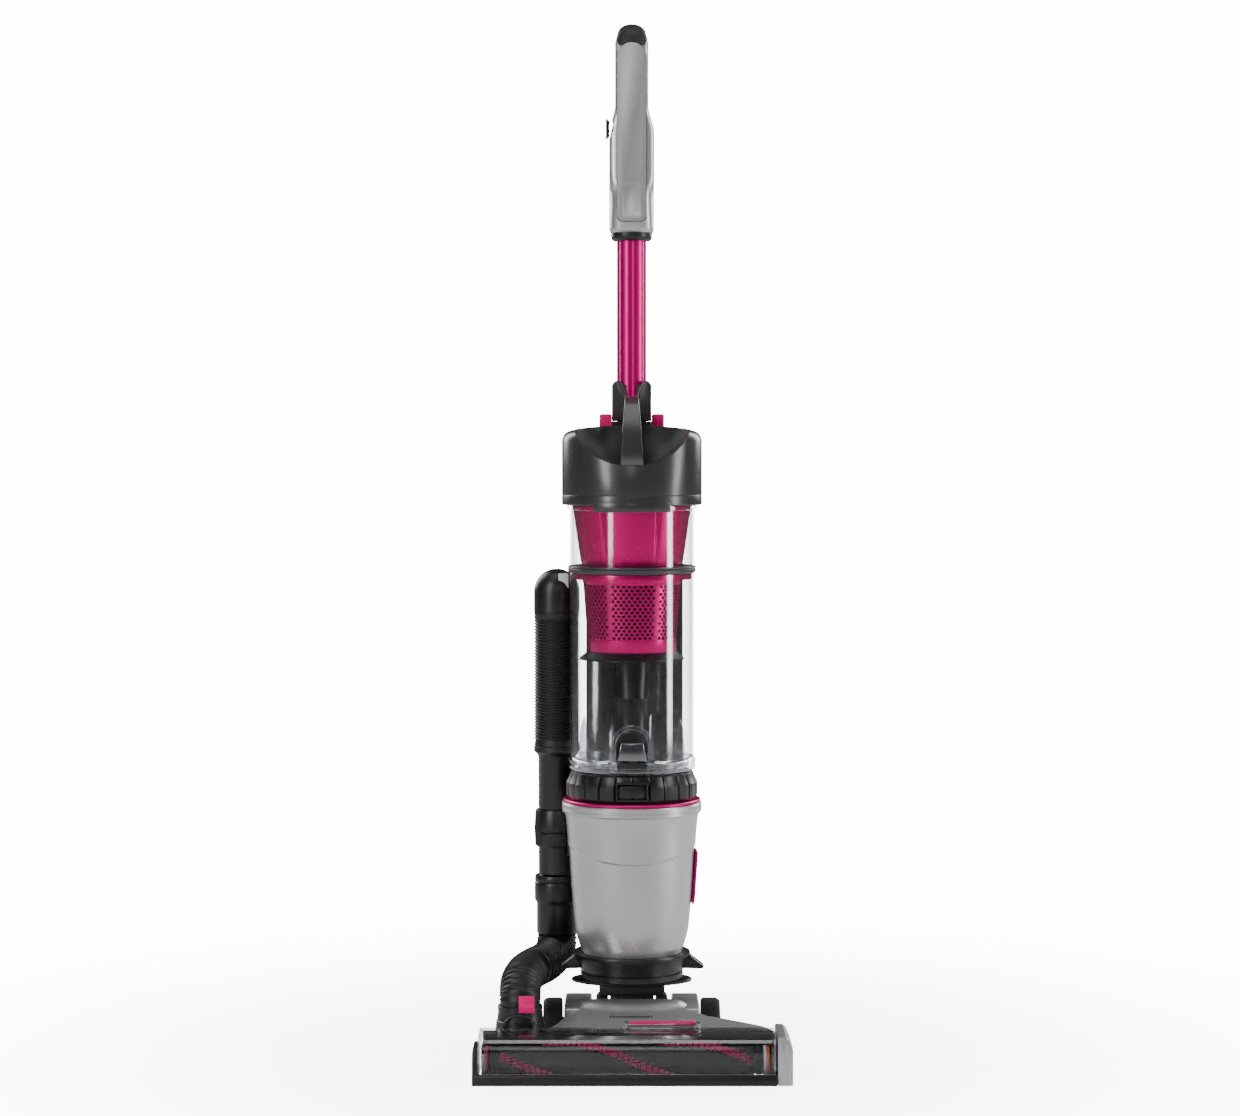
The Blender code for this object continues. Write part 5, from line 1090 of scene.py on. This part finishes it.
def build_cover():
    """The silver cover as one arched sheet, its two axle bosses, and a grey strip across it whose colour
    paints the shade in its moulded slot.
    """
    front, deep, wall = -0.1185, 0.0925, 0.002
    bm = bmesh.new()
    rows, columns = 44, 96
    grid = []
    for i in range(rows + 1):
        y = front + deep * i / rows
        left, right = blend_table(LEFT_EDGE, y), blend_table(RIGHT_EDGE, y)
        low = 0.0098
        line = [bm.verts.new((left, y, low)), bm.verts.new((left, y, 0.026))]
        for k in range(columns + 1):
            u = -1 + 2 * k / columns
            u = math.copysign(abs(u) ** 0.8, u)
            x = left + (right - left) * (u + 1) / 2
            z = cover_height(x, y)
            fall = abs(u) ** 9
            rim = 0.04 + 0.002 * ease(-0.06, -0.11, y)
            z = z - (z - rim) * fall
            line.append(bm.verts.new((x, y, z)))
        line += [bm.verts.new((right, y, 0.026)), bm.verts.new((right, y, low))]
        grid.append(line)
    for here, there in zip(grid, grid[1:]):
        for k in range(len(here) - 1):
            bm.faces.new((here[k], there[k], there[k + 1], here[k + 1]))
    cover = thing("cover_shell", bm, SILVER)
    step = cover.modifiers.new("wall", "SOLIDIFY")
    step.thickness = wall
    step.offset = -1.0
    settle(cover)
    finish_piece(cover, "floor_head", "head_cover", angle=42)
    arms = []
    for side in (-1, 1):
        outline = [(-0.05, 0.015), (-0.05, 0.0535), (-0.03, 0.0548), (0.005, 0.0535)]
        outline += arc((AXLE_Y, AXLE_Z), 0.028, 92, -50, 22)
        outline += [(0.03, 0.01)]
        x = sorted((side * 0.041, side * 0.068))
        arms.append(plate(outline, x[0], x[1], "YZ"))
    put("axle_bosses", merge(*arms), SILVER, "floor_head", edge=(0.0022, 3, 30), angle=35)
    caps = []
    for side in (-1, 1):
        disc = [(0.0045, 0.0672), (0.015, 0.0672), (0.015, 0.0688), (0.012, 0.0694), (0.0045, 0.0694)]
        caps.append(lathe_x([(r, side * d) for r, d in disc], AXLE_Y, AXLE_Z, 48))
    put("axle_washers", merge(*caps), STEEL, "floor_head")
    # Raised grey strip with end stops where the cover has a moulded slot: painted shade of the slot.
    seam = [box((-0.02, 0.0175), (-0.086, -0.0846), (0.0515, 0.0532))]
    for x in (-0.0215, 0.019):
        seam.append(box((x - 0.0008, x + 0.0008), (-0.0862, -0.0844), (0.0515, 0.0536)))
    put("cover_slot_shade", merge(*seam), SEAL, "floor_head", edge=(0.0003, 2))


def window_outline(grow):
    """Side outline of the window's outside, moved inwards by grow."""
    front, top, rear = -0.168 + grow, 0.048 - grow, -0.1187
    return [(front, 0.0124), (front, 0.033), (front + 0.0006, 0.0375 - grow * 0.3),
            (front + 0.003, 0.0425 - grow * 0.6),
            (front + 0.0072, 0.0458 - grow * 0.8), (front + 0.013, top - 0.0007), (front + 0.022, top),
            (rear, top)]


def build_window():
    """Clear brush window with its rails and hooks, and the pink release bar in its frame."""
    left, right = -0.1488, 0.138
    outer, inner = window_outline(0.0), window_outline(0.002)
    sheet = plate(outer + list(reversed(inner)), left, right, "YZ")
    end = plate(outer + [(-0.1187, 0.0124)], left - 0.0001, left + 0.0018, "YZ")
    put("window_sheet", sheet, CLEAR, "floor_head", "head_window", angle=50)
    put("window_end", end, CLEAR, "floor_head", angle=50)
    parts = [box((left, right), (-0.1215, -0.1187), (0.0455, 0.0486)),
             box((left, right), (-0.1683, -0.166), (0.0122, 0.0136)),
             box((left + 0.006, left + 0.0074), (-0.165, -0.12), (0.013, 0.046)),
             box((right - 0.003, right - 0.0016), (-0.166, -0.12), (0.013, 0.046))]
    put("window_rails", merge(*parts), CLEAR_EDGE, "floor_head", edge=(0.0004, 2))
    hooks = []
    for x, width in ((-0.056, 0.014), (-0.033, 0.01), (0.018, 0.016), (0.042, 0.012), (0.07, 0.014),
                     (0.096, 0.018)):
        hooks.append(box((x - width / 2, x + width / 2), (-0.129, -0.1215), (0.0375, 0.0415)))
    put("window_hooks", merge(*hooks), SMOKE, "floor_head", edge=(0.0006, 2))
    around = smooth_corners([(-0.0085, -0.1262), (0.0665, -0.1262), (0.0665, -0.1108), (-0.0085, -0.1108)],
                            0.0045)
    hollow = smooth_corners([(-0.005, -0.1228), (0.0632, -0.1228), (0.0632, -0.1138), (-0.005, -0.1138)],
                            0.0038)
    frame_ring = thing("release_frame", plate(around, 0.048, 0.0535), CLEAR_EDGE)
    carve(frame_ring, thing("hole", plate(hollow, 0.04, 0.06)))
    finish_piece(soften(frame_ring, 0.0008, 2), "floor_head")
    bar = smooth_corners([(-0.0035, -0.1215), (0.062, -0.1215), (0.062, -0.1145), (-0.0035, -0.1145)],
                         0.0034)
    put("release_bar", plate(bar, 0.0504, 0.0545), TINT, "push_bar", "window_release", edge=(0.0012, 3))


def build_head():
    """Brush chamber, bumper, end caps, and the hose port with its clip."""
    profile = [(-0.1185, 0.01), (-0.1185, 0.0455), (-0.127, 0.0455), (-0.129, 0.044), (-0.129, 0.036),
               (-0.126, 0.034), (-0.125, 0.01)]
    put("chamber_beam", plate(profile, -0.106, 0.138, "YZ"), SATIN, "floor_head", edge=(0.001, 2))
    bar = [(-0.17, 0.0015), (-0.17, 0.0095), (-0.1688, 0.012), (-0.165, 0.012), (-0.165, 0.0015)]
    put("bumper_bar", plate(bar, -0.1547, 0.1397, "YZ"), BLACK, "floor_head", "front_bumper",
        edge=(0.001, 3))
    side = [(-0.169, 0.0015), (-0.169, 0.026), (-0.166, 0.033), (-0.16, 0.036), (-0.122, 0.036),
            (-0.119, 0.034),
            (-0.119, 0.0015)]
    put("end_cap_left", plate(side, -0.1546, -0.1492, "YZ"), BLACK, "floor_head", "side_cap_left",
        edge=(0.0014, 3))
    face = [(0.14, 0.0015), (0.1546, 0.0015), (0.1546, 0.037), (0.1512, 0.0452), (0.148, 0.0482),
            (0.1412, 0.0484),
            (0.14, 0.0474)]
    put("end_cap_right", plate(face, -0.1685, -0.0975, "XZ"), SILVER, "floor_head", "side_cap_right",
        edge=(0.002, 3, 25), angle=30)
    rib = [(0.15, 0.004), (0.1534, 0.004), (0.1534, 0.034), (0.1508, 0.041), (0.1488, 0.043), (0.147, 0.04)]
    put("end_cap_panel", plate(rib, -0.1693, -0.166, "XZ"), SILVER, "floor_head", edge=(0.0006, 2))
    cup = [(0.015, 0.0385), (0.024, 0.0385), (0.0244, 0.04), (0.0242, 0.045), (0.0236, 0.05),
           (0.0236, 0.0506),
           (0.0228, 0.0512), (0.0222, 0.056), (0.0218, 0.061), (0.0222, 0.0625), (0.0222, 0.0648),
           (0.0216, 0.0655),
           (0.018, 0.0655), (0.018, 0.042)]
    put("port_cup", lathe(cup, 96, centre=(PORT_X, PORT_Y)), BLACK, "floor_head", "hose_port")
    put("port_duct", box((PORT_X - 0.019, -0.089), (-0.115, -0.067), (0.01, 0.0445)), BLACK, "floor_head",
        edge=(0.0025, 3))
    # A grey arch on the black port's front: its grey colour paints the highlight on the port's ridge.
    outer, inner = arc((PORT_X, 0.04), 0.02, 8, 172, 30), arc((PORT_X, 0.04), 0.019, 172, 8, 30)
    put("port_arch_highlight", plate(outer + inner, -0.115, -0.112, "XZ"), SEAL, "floor_head", edge=(0.0003, 2))
    front = PORT_Y - 0.025
    tab = [(front, 0.0625), (front - 0.0045, 0.0628), (front - 0.0048, 0.0688), (front - 0.003, 0.0704),
           (front - 0.0016, 0.077), (front - 0.0006, 0.079), (front, 0.079)]
    put("port_tab", plate(tab, -0.111, -0.0957, "YZ"), TINT, "port_clip", "port_release_clip",
        edge=(0.0008, 2))


def build_roll():
    """The brush's core, with the belt's grooves at its left end."""
    profile = [(0.0, -0.141), (0.004, -0.141), (0.004, -0.1385), (0.0125, -0.1385), (0.014, -0.1372)]
    for k in range(5):
        groove = -0.136 + 0.0016 * k
        profile += [(0.014, groove), (0.0132, groove + 0.0004), (0.0132, groove + 0.0011),
                    (0.014, groove + 0.0015)]
    profile += [(0.0146, -0.1275 + 0.004 * k) for k in range(1, 61)]
    profile += [(0.014, 0.118), (0.0115, 0.1182), (0.0115, 0.129), (0.004, 0.1292), (0.004, 0.132),
                (0.0, 0.132)]
    put("roll_core", lathe_x(profile, BRUSH_Y, BRUSH_Z, 96), SATIN, "brush", "brush_core", angle=35)


def add_strand(bm, foot, tip, sides=5):
    """One bristle between two ends, each an (x, radius, angle round the brush, thickness)."""
    rings = []
    for x, r, angle, thick in (foot, tip):
        out = Vector((0, math.cos(angle), math.sin(angle)))
        side = Vector((0, -math.sin(angle), math.cos(angle)))
        centre = Vector((x, BRUSH_Y, BRUSH_Z)) + out * r
        turns = [2 * math.pi * m / sides for m in range(sides)]
        rings.append([bm.verts.new(centre + Vector((1, 0,
                                                    0)) * thick * math.cos(t) + side * thick * math.sin(t))
                      for t in turns])
    for m in range(sides):
        after = (m + 1) % sides
        bm.faces.new((rings[0][m], rings[0][after], rings[1][after], rings[1][m]))
    bm.faces.new(list(reversed(rings[0])))
    bm.faces.new(rings[1])


def build_tufts():
    """Two helical rows of bundles, each of three ranks of seven bristles that fan out."""
    first, pitch, bundles, ranks = -0.125, 0.00565, 43, 3
    tufts = bmesh.new()
    for row in (0.0, math.pi):
        for k in range(bundles):
            x = first + pitch * k
            turn = row + 2 * math.pi * (x + 0.052) / TUFT_TURN + math.pi / 2
            for j in range(7 * ranks):
                lean, rank = (j % 7 - 3) / 3, j // 7 - 1
                angle = turn + 0.02 * ((j % 2) * 2 - 1) + 0.17 * rank
                wobble = 0.03 * math.sin(k * 5.1 + j * 2.3)
                add_strand(tufts, (x + 0.0012 * lean, 0.014, angle, 0.00055),
                           (x + 0.0021 * lean, 0.0184 - 0.0003 * abs(lean), angle + wobble, 0.00042))
    put("roll_tufts", tufts, BRISTLE, "brush", "brush_bristles", angle=50)


def build_brush_ends():
    """A coloured bearing ring and its white seat at each end of the brush."""
    for name, x, material in (("left", -0.1428, TINT), ("right", 0.1299, ORANGE)):
        ring = [(0.0048, x), (0.0145, x), (0.015, x + 0.0006), (0.015, x + 0.002), (0.0145, x + 0.0026),
                (0.0048, x + 0.0026)]
        put("end_ring_" + name, lathe_x(ring, BRUSH_Y, BRUSH_Z, 64), material, "floor_head",
            "brush_bearing_" + name)
        ring = [(0.0048, x - 0.003), (0.0152, x - 0.003), (0.0152, x - 0.0004), (0.0048, x - 0.0004)]
        put("end_seat_" + name, lathe_x(ring, BRUSH_Y, BRUSH_Z, 64), WHITE, "floor_head")


build_handle()
build_cover()
build_window()
build_head()
build_roll()
build_tufts()
build_brush_ends()
